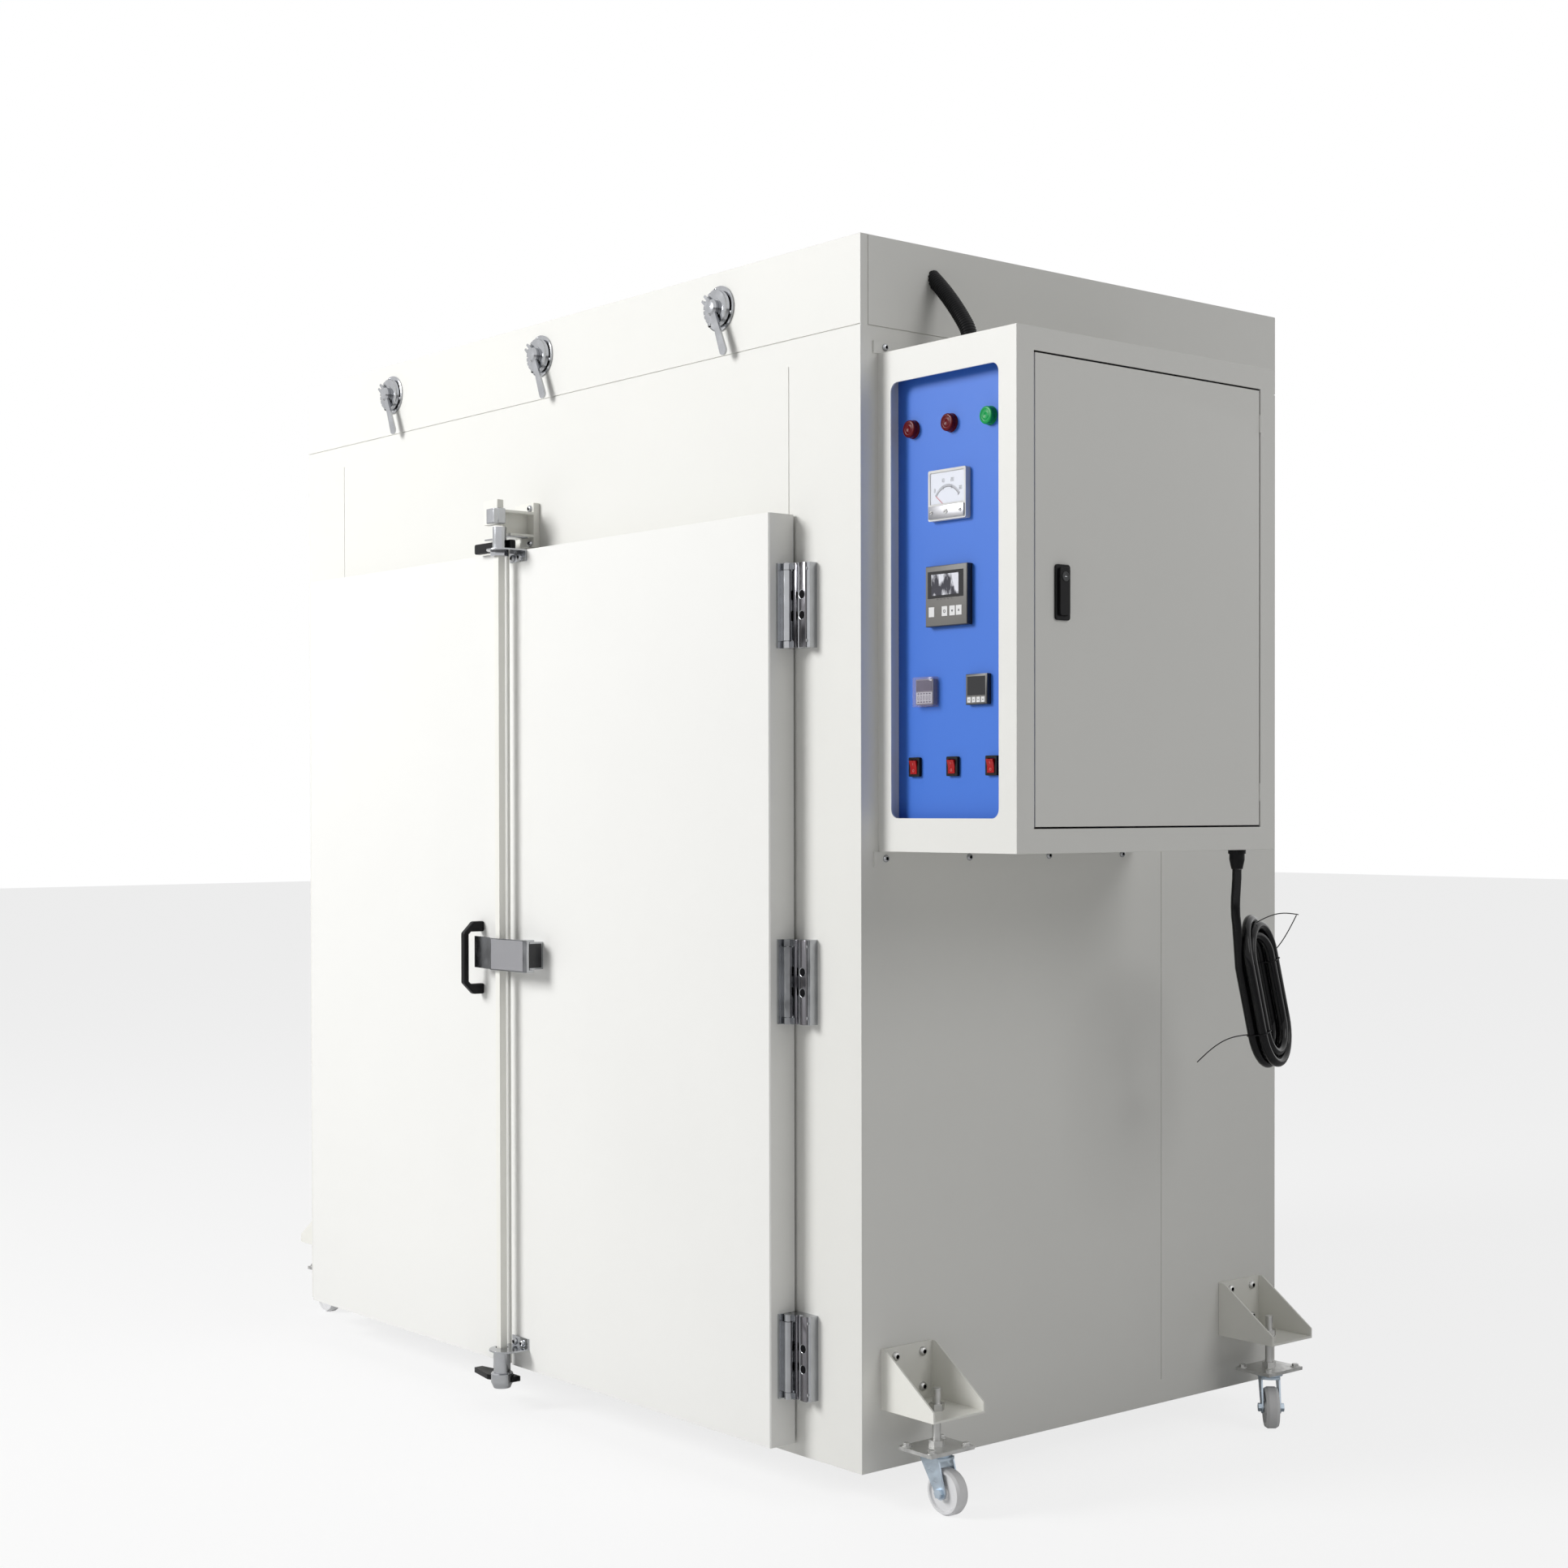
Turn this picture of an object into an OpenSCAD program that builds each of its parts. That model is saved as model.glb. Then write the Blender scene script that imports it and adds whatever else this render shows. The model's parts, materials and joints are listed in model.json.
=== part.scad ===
// Trolley drying oven: an insulated walk-in box on four casters, with two
// swinging doors, a lock rod, three air dampers and a side control cabinet.
// Lengths are in millimetres. Inside each module x runs from the right side
// wall, y from the front face and z from the lower edge of the body.

/* [Body] */
// Width of the insulated body
body_w = 1840; // [1600:10:2400]
// Depth of the insulated body
body_d = 1040; // [980:10:1600]
// Height of the insulated body
body_h = 2000; // [1950:10:2300]
// Thickness of the insulated walls
wall_t = 100; // [70:5:120]
// Thickness of the insulated floor
floor_t = 80; // [60:5:100]
// Height of the band round the top
band_h = 147; // [130:1:160]
// Depth of the folded front panel of the band
fascia_t = 17; // [12:1:25]
// Height of the lower edge of the body above the ground
ground_gap = 60; // [55:1:80]
// Width of the narrow panel seams
seam_w = 2; // [1:0.5:3]
// Thickness of the stainless lining
liner_t = 2; // [1.5:0.5:3]

/* [Doors] */
// Distance from the right side of the body to the right door
door_in_right = 164; // [150:1:180]
// Distance from the left side of the body to the left door
door_in_left = 112; // [105:1:130]
// Distance from the top of the body down to the upper edge of the doors
door_drop = 437; // [400:1:480]
// Height of the lower edge of the doors
door_low = 19; // [15:1:40]
// Thickness of a door slab
door_t = 53; // [45:1:60]
// Gap between the slab and the body, filled by the gasket
door_gap = 4; // [3:0.5:6]
// Gap between the two doors
leaf_gap = 10; // [8:1:14]
// Width of the right door
leaf_w = 783; // [700:1:830]
// How far a door laps over the frame
door_lap = 50; // [40:1:60]
// Depth of the inner door pan
plug_t = 36; // [20:1:45]
// Gap round the inner door pan
plug_gap = 14; // [12:1:20]
// Width of the door gasket
gasket_w = 22; // [15:1:26]

/* [Hinges] */
// Height of a hinge
hinge_h = 140; // [100:5:180]
// Height of the lower hinge above the body's edge
hinge_low = 170; // [150:5:260]
// Height of the middle hinge
hinge_mid = 790; // [600:5:900]
// Distance of the upper hinge below the upper edge of the doors
hinge_drop = 153; // [125:1:300]
// Distance of the pin from the door's edge
pin_out = 12; // [11:0.5:14]
// Distance of the pin from the body's face
pin_fwd = 28; // [26:0.5:30]
// Radius of a knuckle
knuckle_r = 8; // [6.5:0.5:9]
// Width of the leaf on the body
leaf_plate_w = 43; // [36:1:50]

/* [Lock] */
// Distance from the edge of the right door to the rod
rod_in = 13; // [12:1:20]
// Distance from the door's face to the axis of the rod
rod_out = 29; // [26:1:32]
// Width of the square lock rod
rod_w = 15; // [12:1:16]
// Distance of the upper rod guide below the upper edge of the doors
guide_drop = 3; // [3:1:60]
// Height of the lower rod guide
guide_low = 56; // [40:1:90]
// Width of a rod guide
guide_w = 66; // [60:1:72]
// Height of the latch above the body's edge
latch_z = 803; // [700:1:900]
// Height of the latch
latch_h = 60; // [50:1:70]

/* [Pull handle] */
// Height between the outer ends of the handle
pull_h = 140; // [110:1:160]
// Distance from the door to the outside of the grip
pull_out = 45; // [38:1:55]

/* [Dampers] */
// Distance from the right side to the first damper
damper_first = 366; // [250:1:450]
// Distance between dampers
damper_pitch = 554; // [450:1:580]
// Height of the dampers below the top of the body
damper_drop = 64; // [55:1:75]
// Radius of a damper flange
damper_r = 39; // [32:1:44]
// Length of a damper lever
lever_l = 92; // [70:1:100]

/* [Control cabinet] */
// Depth of the cabinet out from the side wall
cab_w = 316; // [280:1:380]
// Length of the cabinet along the side wall
cab_l = 609; // [560:1:640]
// Height of the cabinet
cab_h = 804; // [780:1:820]
// Distance from the front of the body to the cabinet
cab_y = 37; // [30:1:60]
// Distance from the top of the body down to the underside of the cabinet
cab_drop = 994; // [990:1:1060]
// Thickness of the cabinet sheet
sheet_t = 3; // [2:0.5:4]
// Distance of the instrument panel behind the face
panel_in = 25; // [22:1:40]
// Gap round the cabinet door
cab_gap = 3; // [2:0.5:4]

/* [Casters] */
// Diameter of a wheel
wheel_d = 75; // [65:1:76]
// Width of a wheel
wheel_w = 24; // [18:1:26]
// Distance from the swivel axis back to the axle
trail = 26; // [20:1:28]
// Distance of the swivel axis from the side wall
stud_out = 72; // [70:1:76]
// Diameter of the threaded stud
stud_d = 14; // [10:1:18]
// Height of the upper face of the caster plate
plate_z = 46; // [46:1:52]

/* [Hidden] */

// General values
eps = 0.01;
near = 0.3;
fine = 64;
mid = 32;
ivory = [0.90, 0.89, 0.84];
chrome = [0.78, 0.79, 0.82];
black = [0.06, 0.06, 0.07];
steel = [0.70, 0.71, 0.72];
zinc = [0.66, 0.72, 0.78];
nylon = [0.93, 0.93, 0.95];
blue = [0.24, 0.47, 0.84];

// Heights and faces worked out from the driving sizes
band_z = body_h - band_h;
door_top = body_h - door_drop;
hinge_top = door_top - hinge_drop;
guide_top = door_top - guide_drop;
cab_z = body_h - cab_drop;
door_face = -door_gap - door_t;
door_right_x = -door_in_right;
leaf_edge_x = door_right_x - leaf_w;
door_left_x = -body_w + door_in_left;
left_edge_x = leaf_edge_x - leaf_gap;
open_right = door_right_x - door_lap;
open_left = door_left_x + door_lap;
open_top = door_top - door_lap;
pin_x = door_right_x + pin_out;
pin_x_left = door_left_x - pin_out;
hinge_zs = [hinge_low, hinge_mid, hinge_top];
ceiling_z = door_top;

// Caster values
bracket_w = 114;
bracket_h = 98;
bracket_out = 126;
bracket_t = 4;
bracket_z = 100;
front_caster_y = 97;
rear_caster_y = body_d - 106;
axle_z = wheel_d / 2 - ground_gap;
plate_t = 6;
caster_xs = [stud_out, stud_out, -body_w - stud_out, -body_w - stud_out];
caster_ys = [front_caster_y, rear_caster_y, front_caster_y, rear_caster_y];
caster_turns = [0, -43, 180, 215];

// Lock values
rod_x = leaf_edge_x + rod_in;
rod_y = door_face - rod_out;
sleeve_r = 13;
sleeve_bore = rod_w * sqrt(2) / 2 + near / 2;
foot_r = 16;
collar_r = 21;
guide_t = 3;
keeper_z = door_top + 49;
lever_face = 47;
lever_t = 5;
lug_t = 4;
latch_pivot_x = rod_x + 96;
latch_pivot_y = door_face - 31;

// Overall middle of the oven, used to put the origin below it
lock_out = 9;
x_low = -body_w - stud_out - trail - wheel_d / 2;
x_high = cab_w + lock_out;
y_low = rod_y - guide_w / 2;
y_high = body_d;

module place() {
    translate([-(x_low + x_high) / 2, -(y_low + y_high) / 2, ground_gap]) children();
}

// A block between two opposite corners
module block(a, b) {
    translate(a) cube(b - a);
}

// A flat outline with rounded corners, from one corner to the other
module round_rect(a, b, r) {
    difference() {
        translate(a) square(b - a);
        for (cx = [0, 1], cy = [0, 1])
            translate([cx ? b[0] : a[0], cy ? b[1] : a[1]])
                rotate(cx ? (cy ? 180 : 90) : (cy ? 270 : 0))
                    difference() {
                        translate([-eps, -eps]) square(r + eps);
                        translate([r, r]) circle(r, $fn = mid);
                    }
    }
}

// Puts a flat outline of y and z on a wall that faces x, grown by a height
module on_side(x, h) {
    translate([x, 0, 0]) rotate([90, 0, 90]) linear_extrude(h) children();
}

// Puts a flat outline of x and z on a face that looks to the front
module on_front(y, h) {
    translate([0, y, 0]) rotate([90, 0, 0]) linear_extrude(h) children();
}

/* Insulated body */

seam_depth = 1.2;
side_seam_y = 718;
side_seam_z = 43;
front_seam_top = body_h - 190;
front_seam_in = 16;

module left_wall() {
    color(ivory) place() difference() {
        block([-body_w, 0, 0], [-body_w + wall_t, body_d, band_z]);
        block([-body_w - eps, side_seam_y, side_seam_z],
            [-body_w + seam_depth, side_seam_y + seam_w, band_z + eps]);
    }
}

module right_wall() {
    color(ivory) place() difference() {
        block([-wall_t, 0, 0], [0, body_d, band_z]);
        block([-seam_depth, side_seam_y, side_seam_z], [eps, side_seam_y + seam_w, band_z + eps]);
    }
}

module rear_wall() {
    color(ivory) place() difference() {
        block([-body_w + wall_t, body_d - wall_t, floor_t], [-wall_t, body_d, band_z]);
        for (x = [-body_w / 3, -body_w * 2 / 3])
            block([x, body_d - seam_depth, floor_t - eps], [x + seam_w, body_d + eps, band_z + eps]);
    }
}

module ceiling() {
    color(ivory) place()
        block([-body_w + wall_t, wall_t, ceiling_z], [-wall_t, body_d - wall_t, band_z]);
}

module floor() {
    color(ivory) place()
        block([-body_w + wall_t, 0, 0], [-wall_t, body_d, floor_t]);
}

module front_header() {
    color(ivory) place() difference() {
        block([-body_w + wall_t, 0, open_top], [-wall_t, wall_t, band_z]);
        for (x = [door_right_x - front_seam_in, door_left_x + front_seam_in * 3])
            block([x - seam_w, -eps, door_top], [x, seam_depth, front_seam_top]);
    }
}

module front_stiles() {
    color(ivory) place() {
        block([open_right, 0, floor_t], [-wall_t, wall_t, open_top]);
        block([-body_w + wall_t, 0, floor_t], [open_left, wall_t, open_top]);
    }
}

module chamber_liner() {
    color(steel) place() difference() {
        block([-body_w + wall_t, wall_t, floor_t], [-wall_t, body_d - wall_t, ceiling_z]);
        block([-body_w + wall_t + liner_t, wall_t - eps, floor_t + liner_t],
            [-wall_t - liner_t, body_d - wall_t - liner_t, ceiling_z - liner_t]);
    }
}

module top_housing() {
    color(ivory) place() difference() {
        block([-body_w, fascia_t, band_z], [0, body_d, body_h]);
        difference() {
            block([-body_w - eps, fascia_t - eps, band_z - eps], [eps, body_d + eps, band_z + seam_w]);
            block([-body_w + seam_w, fascia_t - 2 * eps, band_z - 2 * eps],
                [-seam_w, body_d - seam_w, band_z + 2 * seam_w]);
        }
    }
}

module top_fascia() {
    color(ivory) place() difference() {
        block([-body_w, 0, band_z], [0, fascia_t, body_h]);
        block([-body_w - eps, -eps, band_z - eps], [eps, seam_w, band_z + seam_w]);
        for (x = [-body_w - eps, -seam_depth])
            block([x, fascia_t - seam_w, band_z - eps], [x + seam_depth + eps, fascia_t + eps, body_h + eps]);
    }
}

/* Doors. A door is drawn for the right side and mirrored for the left. */

module door_slab(x_hinge, x_edge) {
    side = sign(x_hinge - x_edge);
    edge_r = 3;
    color(ivory) place() {
        difference() {
            block([min(x_hinge, x_edge), door_face, door_low], [max(x_hinge, x_edge), -door_gap, door_top]);
            for (x = [x_hinge, x_edge])
                translate([x, door_face, door_low - eps]) rotate(45)
                    translate([-edge_r / 2, -edge_r / 2, 0]) cube([edge_r, edge_r, door_top]);
        }
        pan_hinge = x_hinge - side * (door_lap + plug_gap);
        pan_edge = x_edge + side * plug_gap;
        block([min(pan_hinge, pan_edge), -door_gap - eps, floor_t + plug_gap],
            [max(pan_hinge, pan_edge), plug_t, open_top - plug_gap]);
    }
}

module door_seal(x_hinge, x_edge) {
    side = sign(x_hinge - x_edge);
    in_hinge = x_hinge - side * gasket_w;
    low = floor_t - 2 * gasket_w;
    high = open_top + gasket_w;
    color(black) place() {
        for (z = [low, high])
            block([min(in_hinge, x_edge), -door_gap, z], [max(in_hinge, x_edge), -near, z + gasket_w]);
        inner = in_hinge - side * gasket_w;
        block([min(in_hinge, inner), -door_gap, low + gasket_w], [max(in_hinge, inner), -near, high]);
    }
}

module door_right() { door_slab(door_right_x, leaf_edge_x); }
module door_left() { door_slab(door_left_x, left_edge_x); }
module door_right_seal() { door_seal(door_right_x, leaf_edge_x); }
module door_left_seal() { door_seal(door_left_x, left_edge_x); }

/* Hinges */

cap_h = 11;
hole_r = 8;
hole_rise = 17;

// Outline of the body's leaf seen from above: two facets meet in a valley
module base_profile() {
    polygon([[-pin_out / 2, 0], [leaf_plate_w, 0], [leaf_plate_w, -16], [leaf_plate_w - 11, -23],
        [leaf_plate_w / 2, -15], [knuckle_r + 3, -22], [0, -22], [-pin_out / 2, -18]]);
}

// One leaf on the body, drawn with the pin at the origin and the door at -x
module hinge_base() {
    difference() {
        union() {
            difference() {
                translate([0, pin_fwd, -hinge_h / 2]) linear_extrude(hinge_h) base_profile();
                translate([0, 0, -hinge_h / 2 - eps]) cylinder(hinge_h + 2 * eps, r = knuckle_r + 1, $fn = mid);
            }
            for (end = [-1, 1])
                translate([0, 0, end * (hinge_h - cap_h) / 2]) {
                    translate([0, 0, -cap_h / 2]) cylinder(cap_h, r = knuckle_r - 0.7, $fn = mid);
                    block([0, 2, -cap_h / 2], [knuckle_r + 6, knuckle_r + 2, cap_h / 2]);
                }
        }
        for (x = [8, leaf_plate_w - 16], z = [-hole_rise, hole_rise])
            translate([x, pin_fwd - 8, z]) rotate([90, 0, 0]) cylinder(pin_fwd, r = hole_r, $fn = mid);
        translate([0, 0, -hinge_h / 2 - 1]) cylinder(hinge_h + 2, r = 3.2, $fn = mid);
    }
}

// The strap on the edge of the door with its long knuckle and pin
module hinge_strap() {
    strap_t = 4;
    barrel_h = hinge_h - 2 * cap_h - 2;
    block([-pin_out, -pin_fwd + 14.5, -hinge_h / 2], [-pin_out + strap_t, pin_fwd - door_gap, hinge_h / 2]);
    translate([0, 0, -barrel_h / 2]) cylinder(barrel_h, r = knuckle_r, $fn = mid);
    block([-pin_out + strap_t - eps, -knuckle_r + 2, -barrel_h / 2], [0, knuckle_r - 2, barrel_h / 2]);
    translate([0, 0, -hinge_h / 2]) cylinder(hinge_h, r = 3, $fn = mid);
}

module at_hinges(left = false) {
    for (z = hinge_zs)
        translate([left ? pin_x_left : pin_x, -pin_fwd, z])
            mirror([left ? 1 : 0, 0, 0]) children();
}

module hinge_bases() {
    color(chrome) place() {
        at_hinges() hinge_base();
        at_hinges(true) hinge_base();
    }
}

module hinge_straps_right() {
    color(chrome) place() at_hinges() hinge_strap();
}

module hinge_straps_left() {
    color(chrome) place() at_hinges(true) hinge_strap();
}

/* Lock: keeper on the body, guides, rod and latch on the right door */

bracket_arm_w = 48;
bar_t = 14;
flange_t = 5;
keeper_x = rod_x - 17;
keeper_out = rod_y - 9;
keeper_top = door_top + 95;
arm_top = door_top + 77;
arm_low = door_top + 34;
bolt_plate_w = 30;

module keeper_bracket() {
    x0 = keeper_x - bracket_arm_w / 2;
    x1 = keeper_x + bracket_arm_w / 2;
    color(ivory) place() {
        block([x0, -bar_t, door_top + 11], [x1, 0, keeper_top]);
        block([x0 - bolt_plate_w, -flange_t, door_top + 11], [x0 + eps, 0, keeper_top]);
        block([x0, keeper_out, keeper_z], [x1, keeper_out + bar_t, keeper_top]);
        block([x0, keeper_out + bar_t - eps, arm_top - flange_t], [x1, -bar_t + eps, arm_top]);
        block([x0, rod_y + sleeve_r + 7, arm_low - flange_t], [x1, -bar_t + eps, arm_low]);
        block([keeper_x - 3, keeper_out + bar_t - eps, keeper_z], [keeper_x + 3, -bar_t + eps, arm_top - flange_t + eps]);
        block([keeper_x - 3, rod_y + sleeve_r + 7, arm_low - eps], [keeper_x + 3, -bar_t + eps, keeper_z + eps]);
    }
}

module keeper_block() {
    block_t = 12;
    color(chrome) place() {
        block([rod_x - 13, keeper_out - block_t, keeper_z], [rod_x + 13, keeper_out, arm_top]);
        block([keeper_x - 68, rod_y + sleeve_r + 7, arm_low - flange_t - 3],
            [keeper_x + bracket_arm_w / 2, -26, arm_low - flange_t]);
    }
}

guide_shift = 16;
guide_leg = 22;

// A bent plate with a round nose that guides the rod on the right door
module rod_guide(z, leg) {
    translate([rod_x, rod_y, z]) {
        difference() {
            translate([guide_shift, 0, 0]) linear_extrude(guide_t) {
                translate([-guide_w / 2, 0]) square([guide_w, rod_out]);
                difference() {
                    circle(guide_w / 2, $fn = fine);
                    translate([-guide_w, eps]) square(guide_w * 2);
                }
            }
            translate([0, 0, -eps]) cylinder(guide_t + 2 * eps, r = sleeve_bore + 1.2, $fn = mid);
        }
        translate([guide_shift + guide_w / 2 - 54, rod_out - guide_t, leg])
            cube([54, guide_t, guide_leg]);
    }
}

module rod_guides() {
    color(chrome) place() {
        rod_guide(guide_top, guide_t - guide_leg);
        rod_guide(guide_low, 0);
    }
}

module lock_rod() {
    color(ivory) place()
        translate([rod_x - rod_w / 2, rod_y - rod_w / 2, 12 + near])
            cube([rod_w, rod_w, guide_top + 42 - 12]);
}

module rod_sleeves() {
    sleeve_h = 43;
    color(chrome) place() translate([rod_x, rod_y, 0]) {
        difference() {
            union() {
                translate([0, 0, guide_top + guide_t + near]) cylinder(sleeve_h, r = sleeve_r, $fn = fine);
                translate([0, 0, guide_top - near - 8]) cylinder(8, r = 17, $fn = 6);
            }
            translate([0, 0, guide_top - 12]) cylinder(sleeve_h + 20, r = sleeve_bore, $fn = fine);
        }
        difference() {
            translate([0, 0, 12]) cylinder(guide_low - near - 12, r = foot_r, $fn = fine);
            translate([0, 0, 12 + near]) cylinder(guide_low, r = sleeve_bore, $fn = fine);
        }
        rotate_extrude($fn = fine)
            polygon([[0, 12], [collar_r - 2, 12], [collar_r, 10], [collar_r, -6], [collar_r - 5, -17], [0, -17]]);
    }
}

arm_l = 109;
arm_t = 11;
arm_h = 19;
arm_tip = 95;
arm_neck = 40;
arm_taper = 14;

module rod_arms() {
    arm_z = guide_top + guide_t + near;
    belly = collar_r + 6;
    color(black) place() translate([rod_x, rod_y, 0]) {
        on_front(sleeve_r + arm_t, arm_t)
            round_rect([-arm_l, arm_z + 1], [sleeve_r + 6, arm_z + 1 + arm_h], 4);
        translate([0, 0, -6]) linear_extrude(10) difference() {
            polygon([[-arm_tip, -2], [-arm_tip, arm_taper + 2], [-arm_neck, belly], [collar_r + 1, belly],
                [collar_r + 1, 8], [-arm_neck + 10, -arm_taper]]);
            circle(collar_r + near / 2, $fn = fine);
        }
    }
}

module latch_base() {
    color(chrome) place() {
        h = latch_h - 2 * lug_t - 1;
        translate([latch_pivot_x, 0, latch_z - h / 2]) linear_extrude(h)
            polygon([[-64, door_face], [4, door_face], [4, latch_pivot_y + 4], [0, latch_pivot_y - 4],
                [-50, latch_pivot_y - 4], [-64, latch_pivot_y + 10]]);
        translate([latch_pivot_x, latch_pivot_y, latch_z - latch_h / 2])
            cylinder(latch_h, r = 3, $fn = mid);
    }
}

module latch_lever() {
    face = door_face - lever_face;
    inner = face + lever_t;
    bend_x = rod_x - 8;
    tip_x = rod_x - 91;
    color(chrome) place() {
        translate([0, 0, latch_z - latch_h / 2]) linear_extrude(latch_h)
            polygon([[latch_pivot_x + 14, face + 4], [latch_pivot_x + 10, face], [bend_x, face],
                [bend_x - 16, face + 9], [tip_x, face + 17], [tip_x, face + 17 + lever_t],
                [bend_x - 18, face + 14], [bend_x - 2, inner], [latch_pivot_x + 10, inner],
                [latch_pivot_x + 14, inner + 4]]);
        for (z = [latch_z - latch_h / 2, latch_z + latch_h / 2 - lug_t])
            translate([latch_pivot_x, 0, z]) linear_extrude(lug_t) difference() {
                polygon([[-18, inner - 1], [12, inner - 1], [12, latch_pivot_y + 6], [-12, latch_pivot_y + 6]]);
                translate([0, latch_pivot_y]) circle(3 + near / 2, $fn = mid);
            }
    }
}

// Pull handle on the left door: a bent bar with cut corners
module pull_handle() {
    bar = 14;
    x = left_edge_x - 94;
    cut = 22;
    h = pull_h / 2;
    color(black) place() on_side(x, bar) translate([door_face, latch_z - 13])
        polygon([[0, -h], [-pull_out + cut, -h], [-pull_out, -h + cut], [-pull_out, h - cut],
            [-pull_out + cut, h], [0, h], [0, h - 20], [-pull_out + 16, h - 20], [-pull_out + 11, h - 25],
            [-pull_out + 11, -h + 25], [-pull_out + 16, -h + 20], [0, -h + 20]]);
}

/* Dampers in the top band */

function damper_x(i) = -damper_first - i * damper_pitch;
damper_z = body_h - damper_drop;
hub_seat = 14;
hub_front = 24;
hub_r = 14;
damper_lean = 22;
tooth_r = 31;
tooth_n = 9;
tooth_from = 112;
tooth_step = 17;
tooth_cut = 5;
tooth_z = 10;
tooth_t = 3;
blade_t = 4;
blade_r = 8.5;

module damper_flanges() {
    color(chrome) place()
        for (i = [0:2])
            translate([damper_x(i), 0, damper_z]) rotate([90, 0, 0]) {
                rotate_extrude($fn = fine)
                    polygon([[0, 0], [damper_r, 0], [damper_r, 3], [damper_r - 2, 4], [damper_r - 8, 4],
                        [damper_r - 11, 8], [18, 8], [17, hub_seat], [0, hub_seat]]);
                translate([0, 0, tooth_z]) linear_extrude(tooth_t) difference() {
                    circle(tooth_r, $fn = fine);
                    for (k = [0:tooth_n - 1])
                        rotate(tooth_from + k * tooth_step) translate([tooth_r - tooth_cut, 0])
                            polygon([[0, 0], [2 * tooth_cut, -tooth_cut / 2], [2 * tooth_cut, tooth_cut / 2]]);
                }
            }
}

module damper_lever(i) {
    color(chrome) place()
        translate([damper_x(i), -hub_seat - near, damper_z]) rotate([90, 0, 0]) {
            rotate_extrude($fn = fine)
                polygon([[0, 0], [hub_r, 0], [hub_r, 5], [hub_r - 4, 9], [0, hub_front - hub_seat]]);
            translate([0, 0, 2]) rotate(damper_lean) linear_extrude(blade_t) {
                polygon([[-5, 0], [-blade_r, -lever_l + blade_r], [blade_r, -lever_l + blade_r], [5, 0]]);
                translate([0, -lever_l + blade_r]) circle(blade_r, $fn = mid);
            }
            translate([0, 0, 2]) rotate(damper_lean + 30) linear_extrude(3)
                polygon([[-9, 0], [-7, tooth_r], [-3, tooth_r], [-2, 20], [2, 20], [3, tooth_r],
                    [7, tooth_r], [9, 0]]);
        }
}

module damper_lever_1() { damper_lever(0); }
module damper_lever_2() { damper_lever(1); }
module damper_lever_3() { damper_lever(2); }

/* Control cabinet */

cab_y1 = cab_y + cab_l;
cab_z1 = cab_z + cab_h;
flange_h = 25;
door_y0 = cab_y + 40;
door_y1 = cab_y1 - 39;
door_z0 = cab_z + 41;
door_z1 = cab_z1 - 39;
window_x0 = 31;
window_x1 = cab_w - 39;
window_z0 = cab_z + 54;
window_z1 = cab_z1 - 52;
window_r = 15;
stay_x = window_x0 - 9;
panel_y = cab_y + panel_in;
screw_r = 4;

module cabinet_case() {
    color(ivory) place() {
        difference() {
            block([0, cab_y + sheet_t, cab_z], [cab_w - sheet_t, cab_y1, cab_z1]);
            block([sheet_t, cab_y, cab_z + sheet_t], [cab_w, cab_y1 - sheet_t, cab_z1 - sheet_t]);
        }
        block([0, cab_y - 11, cab_z - flange_h], [sheet_t, cab_y1 - 8, cab_z + eps]);
        block([0, cab_y - 11, cab_z1 - eps], [sheet_t, cab_y1 - 8, cab_z1 + 20]);
    }
}

// The front sheet with its window, and the upright stay beside the window that the panel rests on
module cabinet_face() {
    color(ivory) place() {
        on_front(cab_y + sheet_t, sheet_t) difference() {
            translate([0, cab_z]) square([cab_w - sheet_t, cab_h]);
            round_rect([window_x0, window_z0], [window_x1, window_z1], window_r);
        }
        block([stay_x - sheet_t, cab_y + sheet_t - eps, window_z0 - 20], [stay_x, panel_y, window_z1 + 20]);
    }
}

cab_pin_x = cab_w + 0.5;
cab_pin_y = door_y1 + cab_gap / 2;
cab_pin_r = 2;
cab_pin_h = 30;
cab_pin_zs = [door_z0 + 40, door_z1 - 40 - cab_pin_h];

// Puts a hinge knuckle at each end of the cabinet door
module at_cab_pins() {
    for (z = cab_pin_zs) translate([cab_pin_x, cab_pin_y, z]) children();
}

module cabinet_side() {
    color(ivory) place() {
        on_side(cab_w - sheet_t, sheet_t) difference() {
            translate([cab_y, cab_z]) square([cab_l, cab_h]);
            translate([door_y0 - cab_gap, door_z0 - cab_gap])
                square([door_y1 - door_y0 + 2 * cab_gap, door_z1 - door_z0 + 2 * cab_gap]);
        }
        at_cab_pins() cylinder(cab_pin_h, r = cab_pin_r, $fn = mid);
    }
}

module cabinet_door() {
    lip = 14;
    color(ivory) place() difference() {
        block([cab_w - lip, door_y0, door_z0], [cab_w, door_y1, door_z1]);
        block([cab_w - lip - eps, door_y0 + sheet_t, door_z0 + sheet_t],
            [cab_w - sheet_t, door_y1 - sheet_t, door_z1 - sheet_t]);
        at_cab_pins() translate([0, 0, -0.5]) cylinder(cab_pin_h + 1, r = cab_pin_r + near, $fn = mid);
    }
}

lock_in = 57;
lock_drop = 363;

module cabinet_lock() {
    color(black) place() translate([0, door_y0 + lock_in, door_z1 - lock_drop]) {
        on_side(cab_w, 4) round_rect([-16, -43], [16, 43], 5);
        on_side(cab_w + 4 - eps, lock_out - 4 + eps) round_rect([-11, -36], [11, 38], 4);
    }
}

module instrument_panel() {
    color(blue) place()
        block([sheet_t, panel_y, cab_z + sheet_t], [cab_w - sheet_t - 16, panel_y + sheet_t, cab_z1 - sheet_t]);
}

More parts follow.
